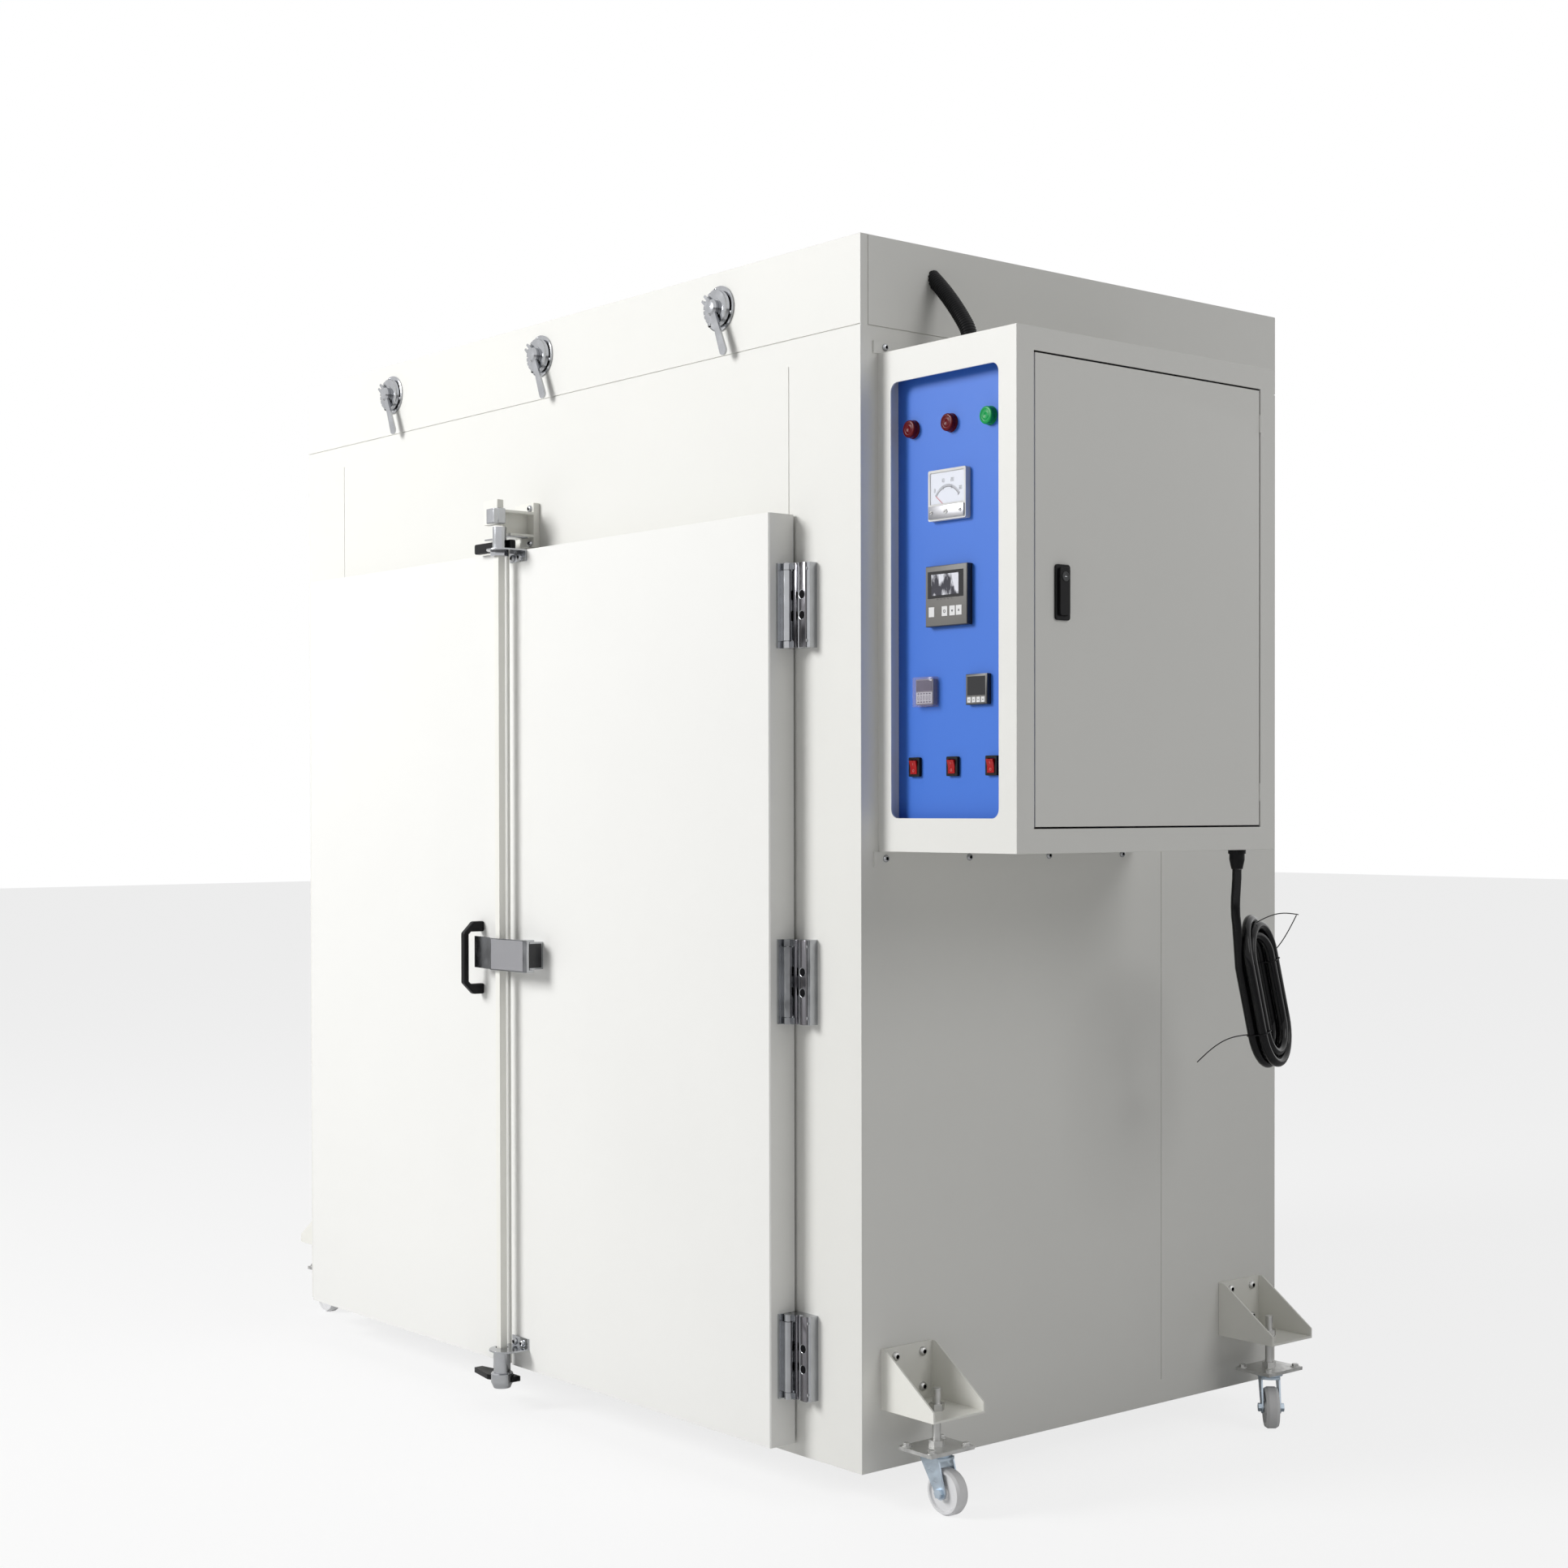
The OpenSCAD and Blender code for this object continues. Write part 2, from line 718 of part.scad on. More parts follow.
panel_mid = 146;
lower_mid = 152;
lamp_drop = 127;
meter_drop = 240;
control_drop = 399;
small_drop = 549;
switch_rise = 136;
lamp_z = cab_z1 - lamp_drop;
lamp_dx = 88;
meter_z = cab_z1 - meter_drop;
control_z = cab_z1 - control_drop;
small_z = cab_z1 - small_drop;
switch_z = cab_z + switch_rise;
small_dx = 59;
rocker_w = 15;
rocker_l = 21.6;
rocker_pivot = 3.2;
rocker_tilt = 8;
trunnion_r = 1.3;
trunnion_l = 2;
bezel_w = 25;
bezel_h = 31;
bezel_t = 5.5;
function switch_x(i) = lower_mid + i * lamp_dx;

// A round lamp lens on its bezel
module pilot_lamps() {
    for (i = [-1, 0, 1])
        color(i < 1 ? "firebrick" : "seagreen") place()
            translate([panel_mid + i * lamp_dx, panel_y, lamp_z]) rotate([90, 0, 0])
                rotate_extrude($fn = mid)
                    polygon([[0, 0], [15, 0], [15, 2], [14, 3], [14, 10], [12.5, 11.5], [0, 11.5]]);
}

// An instrument case on the panel with a sunk dial or screen, seen from the front.
// mid_at is its middle, size its width and height; cut lists the screen's lower left
// corner, upper right corner and depth, measured from the middle.
module instrument(mid_at, size, out, r, cut) {
    translate([mid_at[0], 0, mid_at[1]]) difference() {
        on_front(panel_y, out) round_rect(-size / 2, size / 2, r);
        on_front(panel_y - out + cut[2], cut[2] + eps) round_rect(cut[0], cut[1], 2);
    }
}

module ammeter() {
    w = 86;
    h = 80;
    out = 10;
    foot = 26;
    color("gainsboro") place() {
        instrument([panel_mid, meter_z], [w, h], out, 3, [[4 - w / 2, foot - h / 2], [w / 2 - 4, h / 2 - 4], 2]);
        translate([panel_mid, 0, meter_z - h / 2 + foot / 2]) on_front(panel_y - out + eps, 2)
            round_rect([3 - w / 2, 3 - foot / 2], [w / 2 - 3, foot / 2 - 3], 2);
    }
}

module temperature_controller() {
    w = 96;
    color(black) place() {
        instrument([panel_mid, control_z], [w, w], 12, 3, [[9 - w / 2, -8], [w / 2 - 9, w / 2 - 12], 2]);
        for (k = [0:3])
            translate([panel_mid - w / 2 + 18 + k * 20, 0, control_z - 30]) on_front(panel_y - 12 + eps, 1.2)
                round_rect([-7, -6], [7, 6], 1.5);
    }
}

module timer() {
    w = 48;
    color([0.75, 0.73, 0.82]) place()
        instrument([lower_mid - small_dx, small_z], [w, w], 14, 3, [[5 - w / 2, 6 - w / 2], [w / 2 - 5, w / 2 - 5], 1.5]);
}

module limit_controller() {
    w = 48;
    color(black) place() {
        instrument([lower_mid + small_dx, small_z], [w, w], 9, 2, [[5 - w / 2, -8], [w / 2 - 5, w / 2 - 5], 1.5]);
        for (k = [0:3])
            translate([lower_mid + small_dx - w / 2 + 9 + k * 10, 0, small_z - 15]) on_front(panel_y - 9 + eps, 1)
                round_rect([-3.6, -4], [3.6, 4], 1);
    }
}

module switch_bezels() {
    color(black) place()
        for (i = [-1, 0, 1])
            translate([switch_x(i), 0, switch_z]) difference() {
                on_front(panel_y, bezel_t) difference() {
                    round_rect([-bezel_w / 2, -bezel_h / 2], [bezel_w / 2, bezel_h / 2], 2);
                    square([rocker_w + 2 * near, rocker_l + 2], center = true);
                }
                translate([0, panel_y - rocker_pivot, 0]) rotate([0, 90, 0])
                    cylinder(rocker_w + 2 * trunnion_l + 1, r = trunnion_r + near, center = true, $fn = mid);
            }
}

// A rocker on its pivot, with its upper end standing out
module rocker(i) {
    end = rocker_l / 2;
    color("firebrick") place()
        translate([switch_x(i) - rocker_w / 2, panel_y - rocker_pivot, switch_z])
            rotate([rocker_tilt, 0, 0]) {
                rotate([90, 0, 90]) linear_extrude(rocker_w)
                    polygon([[0.8, -end], [0.8, end], [-5, end], [-3.5, 0], [-5, -end]]);
                translate([rocker_w / 2, 0, 0]) rotate([0, 90, 0])
                    cylinder(rocker_w + 2 * trunnion_l, r = trunnion_r, center = true, $fn = mid);
            }
}

module rocker_1() { rocker(-1); }
module rocker_2() { rocker(0); }
module rocker_3() { rocker(1); }

/* Conduit, gland and power cable */

conduit_y = 161;
conduit_z = body_h - 53;
conduit_r = 13.5;
hose_slant = 42;
hose_steep = 55;
slack_r = 500;
bend_r = 60;
slack_mid = [-slack_r * sin(hose_slant), conduit_z - slack_r * cos(hose_slant)];
bend_mid = slack_mid + (slack_r - bend_r) * [sin(hose_steep), cos(hose_steep)];

// A point of the hose where it runs at a slant of a degrees below level
function hose_at(mid_at, r, a) = [mid_at.x + r * sin(a), conduit_y, mid_at.y + r * cos(a)];

// Starts inside the wall, where the cut makes it flush
hose_points = concat([for (a = [hose_slant - 2:2.5:hose_steep]) hose_at(slack_mid, slack_r, a)],
    [for (a = [hose_steep + 7:7:90]) hose_at(bend_mid, bend_r, a)],
    [[bend_mid.x + bend_r, conduit_y, cab_z1]]);

module conduit() {
    color(black) place() difference() {
        swept_tube(hose_points, conduit_r, 20);
        block([-50, 0, body_h - 150], [0, 2 * conduit_y, body_h]);
    }
}

cable_d = 16;
cable_x = cab_w - 60;
cable_y = cab_y1 - 24;
gland_l = 34;

module cable_gland() {
    color(black) place() translate([cable_x, cable_y, cab_z]) mirror([0, 0, 1])
        rotate_extrude($fn = fine)
            polygon([[0, 0], [15, 0], [15, 8], [13, 8], [13, 18], [cable_d / 2 + 1.5, gland_l], [0, gland_l]]);
}

// Points of the free stretch from the gland down to the hank, chosen by hand
cable_points = [[0, 0, -34.3], [0, -0.5, -50], [0, -2, -66], [0, -3.5, -82], [0, -4, -98],
    [0, -3, -114], [0, -0.2, -130]];

function unit(v) = v / norm(v);
function heading(p, i) = unit(p[min(i + 1, len(p) - 1)] - p[max(i - 1, 0)]);

// A tube swept along points that run mostly downwards
module swept_tube(points, r, sides) {
    rings = [for (i = [0:len(points) - 1])
        let(h = heading(points, i), u = unit(cross(h, [0, 1, 0])), v = cross(h, u))
        for (k = [0:sides - 1]) points[i] + r * (cos(360 * k / sides) * u + sin(360 * k / sides) * v)];
    walls = [for (i = [0:len(points) - 2], k = [0:sides - 1])
        let(a = i * sides + k, b = i * sides + (k + 1) % sides)
        [a, b, b + sides, a + sides]];
    last = (len(points) - 1) * sides;
    polyhedron(rings, concat(walls, [[for (k = [sides - 1:-1:0]) k]], [[for (k = [0:sides - 1]) last + k]]));
}

module power_cable() {
    color(black) place() translate([cable_x, cable_y, cab_z])
        swept_tube(cable_points, cable_d / 2, 12);
}

hank_w = 144;
hank_l = 262;
hank_t = 36;
hank_turn = 20;
hank_lean = 9;
hank_tip = 8;
hank_strand = 34;

// Flat outline of a hank of one width, with the same middle
module hank_outline(w) {
    mid_low = -hank_l + hank_w / 2;
    translate([(hank_w - cable_d) / 2, 0]) {
        for (z = [-hank_w / 2, mid_low]) translate([0, z]) circle(w / 2, $fn = fine);
        translate([-w / 2, mid_low]) square([w, hank_l - hank_w]);
    }
}

module cable_hank() {
    end = len(cable_points) - 1;
    slant = atan2(heading(cable_points, end).y, -heading(cable_points, end).z);
    color(black) place() translate([cable_x, cable_y, cab_z] + cable_points[end]) difference() {
        rotate([hank_lean, -hank_tip, hank_turn]) translate([-hank_t / 2, 0, 0]) rotate([90, 0, 90])
            linear_extrude(hank_t) {
                difference() {
                    hank_outline(hank_w);
                    hank_outline(hank_w - 2 * hank_strand);
                }
                translate([-cable_d / 2, -hank_w / 2]) square([cable_d, hank_w / 2]);
            }
        // The hank ends flat against the lead
        rotate([slant, 0, 0]) block([-hank_t, -cable_d, -0.1], [hank_t, cable_d, cable_d]);
    }
}

/* Casters */

module bracket_shape() {
    w = bracket_w / 2;
    block([0, -w, bracket_z], [bracket_t, w, bracket_z + bracket_h]);
    difference() {
        block([0, -w, bracket_z], [bracket_out, w, bracket_z + bracket_t]);
        translate([stud_out, 0, bracket_z - eps]) cylinder(bracket_t + 1, r = stud_d / 2 + near, $fn = mid);
    }
    for (y = [-w + bracket_t, w])
        translate([0, y, bracket_z]) rotate([90, 0, 0]) linear_extrude(bracket_t)
            polygon([[0, 0], [bracket_out, 0], [bracket_out, 18], [12, bracket_h], [0, bracket_h]]);
}

module caster_brackets() {
    color(ivory) place()
        for (y = [front_caster_y, rear_caster_y]) {
            translate([0, y, 0]) bracket_shape();
            translate([-body_w, y, 0]) mirror([1, 0, 0]) bracket_shape();
        }
}

plate_l = 96;
plate_w = 78;
stud_top = 140;
nut_r = 13;

module caster_plates() {
    color(steel) place()
        for (i = [0:3])
            translate([caster_xs[i], caster_ys[i], 0]) {
                translate([-plate_w / 2, -plate_l / 2, plate_z - plate_t]) cube([plate_w, plate_l, plate_t]);
                translate([0, 0, plate_z - eps]) cylinder(stud_top - plate_z, r = stud_d / 2, $fn = mid);
                translate([0, 0, plate_z - eps]) cylinder(10, r = nut_r, $fn = 6);
                translate([0, 0, bracket_z + bracket_t]) cylinder(11, r = nut_r, $fn = 6);
                translate([0, 0, bracket_z - 11]) cylinder(11, r = nut_r, $fn = 6);
            }
}

module on_caster(i) {
    place() translate([caster_xs[i], caster_ys[i], 0]) rotate(caster_turns[i]) children();
}

fork_t = 3;
fork_gap = 2.5;
race_r = 25;

module caster_fork(i) {
    top = plate_z - plate_t - near;
    leg_y = wheel_w / 2 + fork_gap;
    color(zinc) on_caster(i) {
        translate([0, 0, top - 8]) cylinder(8, r = race_r, $fn = fine);
        translate([0, 0, top - 12]) linear_extrude(4 + eps) intersection() {
            circle(race_r + 4, $fn = fine);
            square([3 * race_r, 2 * (leg_y + fork_t)], center = true);
        }
        for (side = [-1, 1])
            translate([0, side > 0 ? leg_y + fork_t : -leg_y, 0]) rotate([90, 0, 0]) linear_extrude(fork_t)
                hull() {
                    translate([trail, axle_z]) circle(11, $fn = 32);
                    translate([-20, top - 14]) square([42, 4]);
                }
        translate([trail, 0, axle_z]) rotate([90, 0, 0]) {
            cylinder(2 * (leg_y + fork_t) + 10, r = 5, center = true, $fn = mid);
            for (side = [-1, 1])
                translate([0, 0, side * (leg_y + fork_t + 3)]) cylinder(6, r = 8, center = true, $fn = 6);
        }
    }
}

module caster_wheel(i) {
    r = wheel_d / 2;
    w = wheel_w / 2;
    color(nylon) on_caster(i) translate([trail, 0, axle_z]) rotate([90, 0, 0])
        rotate_extrude($fn = fine)
            polygon([[5 + near, -w - 1], [11, -w - 1], [12, -w + 3], [r - 9, -w + 3], [r - 7, -w],
                [r - 3, -w], [r, -w + 5], [r, w - 5], [r - 3, w], [r - 7, w], [r - 9, w - 3],
                [12, w - 3], [11, w + 1], [5 + near, w + 1]]);
}

module caster_fork_1() { caster_fork(0); }
module caster_fork_2() { caster_fork(1); }
module caster_fork_3() { caster_fork(2); }
module caster_fork_4() { caster_fork(3); }
module wheel_1() { caster_wheel(0); }
module wheel_2() { caster_wheel(1); }
module wheel_3() { caster_wheel(2); }
module wheel_4() { caster_wheel(3); }

left_wall();
right_wall();
rear_wall();
ceiling();
floor();
front_header();
front_stiles();
chamber_liner();
top_housing();
top_fascia();
hinge_bases();
keeper_bracket();
keeper_block();
damper_flanges();
caster_brackets();
caster_plates();
cabinet_case();
cabinet_face();
cabinet_side();
instrument_panel();
pilot_lamps();
ammeter();
temperature_controller();
timer();
limit_controller();
switch_bezels();
conduit();
cable_gland();
power_cable();
cable_hank();
door_right();
door_right_seal();
hinge_straps_right();
rod_guides();
latch_base();
latch_lever();
lock_rod();
rod_sleeves();
rod_arms();
door_left();
door_left_seal();
hinge_straps_left();
pull_handle();
damper_lever_1();
damper_lever_2();
damper_lever_3();
cabinet_door();
cabinet_lock();
rocker_1();
rocker_2();
rocker_3();
caster_fork_1();
caster_fork_2();
caster_fork_3();
caster_fork_4();
wheel_1();
wheel_2();
wheel_3();
wheel_4();
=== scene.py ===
# %% [markdown]
# # A trolley drying oven, dressed around its CAD frame
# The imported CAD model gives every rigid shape, its place and its joints. This
# notebook adds what CAD leaves out: paint, plating, screws, dials, a corrugated
# conduit and the wound power cable. Lengths are metres, Z is up, the doors face -Y.

# %% Load the frame
import bmesh
import bpy
import json
from math import cos, pi, radians, sin
from mathutils import Matrix, Vector

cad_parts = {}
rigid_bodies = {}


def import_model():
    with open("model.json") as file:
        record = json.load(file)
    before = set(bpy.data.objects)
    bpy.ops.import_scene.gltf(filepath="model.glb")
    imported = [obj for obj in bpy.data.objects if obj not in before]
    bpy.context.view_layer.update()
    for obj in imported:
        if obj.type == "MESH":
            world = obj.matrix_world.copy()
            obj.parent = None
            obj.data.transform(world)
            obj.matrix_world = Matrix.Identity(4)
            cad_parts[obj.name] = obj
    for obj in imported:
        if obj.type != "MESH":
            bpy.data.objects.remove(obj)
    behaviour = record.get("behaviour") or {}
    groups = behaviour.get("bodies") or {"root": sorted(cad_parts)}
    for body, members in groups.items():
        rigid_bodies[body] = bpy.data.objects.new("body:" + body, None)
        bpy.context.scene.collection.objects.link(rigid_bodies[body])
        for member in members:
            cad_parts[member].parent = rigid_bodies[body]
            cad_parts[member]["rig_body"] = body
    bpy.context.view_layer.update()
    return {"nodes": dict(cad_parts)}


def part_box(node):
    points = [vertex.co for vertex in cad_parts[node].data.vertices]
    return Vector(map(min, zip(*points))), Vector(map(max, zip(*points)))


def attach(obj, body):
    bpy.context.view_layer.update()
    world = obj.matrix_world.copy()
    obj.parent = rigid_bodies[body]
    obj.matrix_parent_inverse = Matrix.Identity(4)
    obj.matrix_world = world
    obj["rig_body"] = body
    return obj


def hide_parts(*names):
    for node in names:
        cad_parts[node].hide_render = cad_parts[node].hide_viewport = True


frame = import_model()
nodes = frame["nodes"]

# %% [markdown]
# The part's drawing measures from three faces of the insulated body: x from the
# right side wall, y from the front face and z from the lower edge. `at` turns such
# a point, in millimetres, into a point of the frame, so sizes stay easy to read.

# %% Points of the drawing
BODY_RIGHT, BODY_FRONT, BODY_LOW = 825.25, -460.5, 60.0


def at(x, y, z):
    return Vector((x + BODY_RIGHT, y + BODY_FRONT, z + BODY_LOW)) / 1000


print("lower front corner on the right:", at(0, 0, 0))

# %% [markdown]
# A camera can be found from a photograph when the object is a box: its edges
# meet at vanishing points, which give the turn, the tilt and the lens. The small
# shift keeps the principal point where the cropped photograph has it.

# %% The camera
camera_data = bpy.data.cameras.new("photo_camera")
camera_data.sensor_width = 36
camera_data.lens = 54.52
camera_data.shift_x = -0.01794
camera_data.shift_y = 0.03273
camera_data.clip_end = 100
camera = bpy.data.objects.new("photo_camera", camera_data)
bpy.context.scene.collection.objects.link(camera)
camera.location = (3.69762, -2.97768, 1.13654)
camera.rotation_euler = (radians(89.3433), radians(0.0988), radians(49.9521))
bpy.context.scene.camera = camera
bpy.context.scene.view_settings.view_transform = "Standard"
print("camera", [round(c, 3) for c in camera.location])

# %% [markdown]
# Every finish below is a small node tree around one Principled shader. `finish`
# makes that tree and sets plain numbers on the shader's own sockets, and the
# helpers after it add noise, bump and wear in Object coordinates, so a pattern
# keeps its real size on every piece.

# %% Helpers for node materials
made_materials = {}


def finish(name, colour, roughness=0.5, metallic=0.0, **sockets):
    material = bpy.data.materials.new(name)
    material.use_nodes = True
    shader = material.node_tree.nodes["Principled BSDF"]
    shader.inputs["Base Color"].default_value = (*colour, 1)
    shader.inputs["Roughness"].default_value = roughness
    shader.inputs["Metallic"].default_value = metallic
    for socket, value in sockets.items():
        shader.inputs[socket.replace("_", " ")].default_value = value
    material.diffuse_color = (*colour, 1)
    made_materials[name] = material
    return material, material.node_tree, shader


def plain(name, colour, roughness, **sockets):
    """A finish without any pattern."""
    return finish(name, colour, roughness, **sockets)[0]


def node(tree, kind, **inputs):
    made = tree.nodes.new("ShaderNode" + kind)
    for socket, value in inputs.items():
        made.inputs[socket.replace("_", " ")].default_value = value
    return made


def object_noise(tree, scale, detail=2.0, stretch=(1, 1, 1)):
    """Noise of one size on the object itself, longer along an axis with a small stretch."""
    place = tree.nodes.new("ShaderNodeTexCoord")
    mapping = node(tree, "Mapping", Scale=stretch)
    noise = node(tree, "TexNoise", Scale=scale, Detail=detail)
    tree.links.new(place.outputs["Object"], mapping.inputs["Vector"])
    tree.links.new(mapping.outputs["Vector"], noise.inputs["Vector"])
    return noise.outputs["Fac"]


def ramp(tree, value, low, high, dark, light):
    """A colour that runs from dark to light as the value runs from low to high."""
    made = tree.nodes.new("ShaderNodeValToRGB")
    made.color_ramp.elements[0].position, made.color_ramp.elements[1].position = low, high
    made.color_ramp.elements[0].color, made.color_ramp.elements[1].color = (*dark, 1), (*light, 1)
    tree.links.new(value, made.inputs["Fac"])
    return made.outputs["Color"]


def spread(tree, value, low, high, start=0.0, end=1.0):
    """A number that runs from low to high as the value runs from start to end."""
    made = node(tree, "MapRange", From_Min=start, From_Max=end, To_Min=low, To_Max=high)
    tree.links.new(value, made.inputs["Value"])
    return made.outputs["Result"]


def bump(tree, shader, height, depth, strength=1.0):
    """Adds small relief, with its depth in metres. Several calls stack."""
    made = node(tree, "Bump", Distance=depth, Strength=strength)
    tree.links.new(height, made.inputs["Height"])
    before = shader.inputs["Normal"].links
    if before:
        tree.links.new(before[0].from_socket, made.inputs["Normal"])
    tree.links.new(made.outputs["Normal"], shader.inputs["Normal"])


print("material helpers ready")

# %% [markdown]
# The sheet metal is powder coated. Powder melts into a skin with a fine orange
# peel, which two sizes of noise give: a slow wave about 8 mm long and a finer
# one of 1 mm. The colour drifts by a hair and the gloss breaks up, as on real paint.

# %% Powder coat


def powder_coat(name, colour, peel=0.00008, dust=0.985, shine=0.4):
    material, tree, shader = finish(name, colour, roughness=0.4, Specular_IOR_Level=shine)
    drift = ramp(tree, object_noise(tree, 3.0, 3.0), 0.3, 0.7, [c * dust for c in colour], colour)
    tree.links.new(drift, shader.inputs["Base Color"])
    gloss = spread(tree, object_noise(tree, 60, 3.0), 0.34, 0.46)
    tree.links.new(gloss, shader.inputs["Roughness"])
    bump(tree, shader, object_noise(tree, 130, 1.0), peel)
    bump(tree, shader, object_noise(tree, 900, 2.0), peel * 0.35)
    return material


body_paint = powder_coat("ivory_powder_coat", (0.79, 0.787, 0.755))
door_paint = powder_coat("door_powder_coat", (0.83, 0.828, 0.805))
bracket_paint = powder_coat("bracket_powder_coat", (0.84, 0.835, 0.785), peel=0.00012, dust=0.96)
panel_paint = powder_coat("blue_panel_paint", (0.052, 0.180, 0.675), peel=0.00003, dust=0.97,
                          shine=0.3)
print("paints:", len(made_materials))

# %% [markdown]
# Plated and bare metals differ mostly in roughness and in how their reflections
# smear. Chrome is smooth with a faint cloud of handling marks; brushed stainless
# has long thin scratches, made by noise squeezed across the grain; blue zinc is
# duller and its colour drifts.

# %% Metals


def plated(name, colour, rough_low, rough_high, scale=40, stretch=(1, 1, 1), relief=0.00002):
    material, tree, shader = finish(name, colour, roughness=rough_low, metallic=1.0)
    marks = object_noise(tree, scale, 4.0, stretch)
    rough = spread(tree, marks, rough_low, rough_high, 0.35, 0.65)
    tree.links.new(rough, shader.inputs["Roughness"])
    cloud = ramp(tree, marks, 0.3, 0.7, [c * 0.88 for c in colour], colour)
    tree.links.new(cloud, shader.inputs["Base Color"])
    bump(tree, shader, marks, relief)
    return material


chrome = plated("chrome_plate", (0.47, 0.48, 0.50), 0.09, 0.2)
# A darker copy of the chrome: its colour is a painted reflection of the dark room, used on the
# hinge bands.
chrome_painted_reflection = plated("chrome_painted_dark_reflection", (0.20, 0.195, 0.21), 0.08, 0.2)
satin_chrome = plated("satin_chrome", (0.42, 0.42, 0.44), 0.32, 0.44, 260, (1, 1, 14), 0.000004)
stainless = plated("brushed_stainless", (0.60, 0.60, 0.61), 0.3, 0.42, 12, (1, 1, 60))
zinc = plated("blue_zinc_plate", (0.52, 0.60, 0.68), 0.25, 0.5, 60)
steel = plated("plain_zinc_steel", (0.55, 0.55, 0.54), 0.3, 0.55, 80)
print("metals:", chrome.name, stainless.name, zinc.name)

# %% [markdown]
# Moulded parts come next: satin black plastic with a spark-eroded grain, rubber
# seals, white nylon for the wheels, and the smooth sheath of the cable, which is
# glossy enough to draw a line of light along each turn.

# %% Plastics and rubber


def moulded(name, colour, rough_low, rough_high, grain=1200, relief=0.00003, **sockets):
    material, tree, shader = finish(name, colour, roughness=rough_low, **sockets)
    marks = object_noise(tree, 25, 4.0)
    tree.links.new(spread(tree, marks, rough_low, rough_high), shader.inputs["Roughness"])
    cloud = ramp(tree, marks, 0.3, 0.75, [c * 0.9 for c in colour], colour)
    tree.links.new(cloud, shader.inputs["Base Color"])
    bump(tree, shader, object_noise(tree, grain, 2.0), relief)
    return material


black_plastic = moulded("satin_black_plastic", (0.008, 0.008, 0.009), 0.3, 0.44,
                        Specular_IOR_Level=0.16)
gasket_rubber = moulded("black_seal_rubber", (0.02, 0.02, 0.02), 0.6, 0.75)
nylon = moulded("white_nylon", (0.78, 0.78, 0.79), 0.32, 0.5)
cable_sheath = moulded("cable_sheath", (0.006, 0.006, 0.007), 0.1, 0.17, 700, 0.00002,
                       Specular_IOR_Level=0.22)
case_black = moulded("instrument_black", (0.022, 0.023, 0.026), 0.25, 0.35)
case_grey = moulded("instrument_grey", (0.70, 0.70, 0.69), 0.2, 0.3)
red_plastic = moulded("red_rocker_plastic", (0.40, 0.007, 0.008), 0.2, 0.3, Specular_IOR_Level=0.25)
print("plastics:", len(made_materials), "finishes so far")

# %% [markdown]
# The CAD nodes keep their shapes and get these finishes. Sheet metal is painted,
# the fittings are plated, and what touches hot air inside is stainless steel.

# %% Finishes on the CAD nodes


def dress(material, *names):
    for name in names:
        mesh = nodes[name].data
        mesh.materials.clear()
        mesh.materials.append(material)


def numbered(stem, count):
    return [f"{stem}_{i + 1}" for i in range(count)]


dress(body_paint, "left_wall", "right_wall", "rear_wall", "ceiling", "floor", "front_header",
      "front_stiles", "top_housing", "top_fascia", "cabinet_case", "cabinet_face",
      "cabinet_side", "cabinet_door")
dress(door_paint, "door_right", "door_left")
dress(bracket_paint, "keeper_bracket", "caster_brackets", "lock_rod")
dress(stainless, "chamber_liner")
dress(chrome, "hinge_bases", "hinge_straps_right", "hinge_straps_left", "keeper_block",
      "damper_flanges", "rod_guides", "rod_sleeves", "latch_base", *numbered("damper_lever", 3))
dress(satin_chrome, "latch_lever")
dress(black_plastic, "rod_arms", "pull_handle", "cabinet_lock", "conduit", "cable_gland",
      "switch_bezels")
dress(gasket_rubber, "door_right_seal", "door_left_seal")
dress(zinc, *numbered("caster_fork", 4))
dress(steel, "caster_plates")
dress(nylon, *numbered("wheel", 4))
dress(panel_paint, "instrument_panel")
dress(case_grey, "ammeter", "timer")
dress(case_black, "temperature_controller", "limit_controller")
dress(red_plastic, "pilot_lamps", *numbered("rocker", 3))
dress(cable_sheath, "power_cable", "cable_hank")
print("dressed", len(nodes), "nodes")

# %% [markdown]
# Small pieces are made in bmesh and handed over by `piece`, which smooths the
# round faces, keeps true edges sharp and hangs the result on its CAD body.

# %% Helpers for new pieces


def piece(name, shape, materials, body="oven", clean=True, flat_below=34):
    if clean:
        bmesh.ops.remove_doubles(shape, verts=shape.verts, dist=1e-6)
        bmesh.ops.recalc_face_normals(shape, faces=shape.faces)
    for face in shape.faces:
        face.smooth = True
    for edge in shape.edges:
        if len(edge.link_faces) == 2 and edge.calc_face_angle(0) > radians(flat_below):
            edge.smooth = False
    mesh = bpy.data.meshes.new(name)
    shape.to_mesh(mesh)
    shape.free()
    for material in materials if isinstance(materials, (list, tuple)) else [materials]:
        mesh.materials.append(material)
    made = bpy.data.objects.new(name, mesh)
    bpy.context.scene.collection.objects.link(made)
    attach(made, body)
    return made


def facing(point, direction, spin=0.0):
    """A place whose Z axis looks along a direction."""
    turn = Vector(direction).to_track_quat("Z", "Y").to_matrix().to_4x4()
    return Matrix.Translation(point) @ turn @ Matrix.Rotation(spin, 4, "Z")


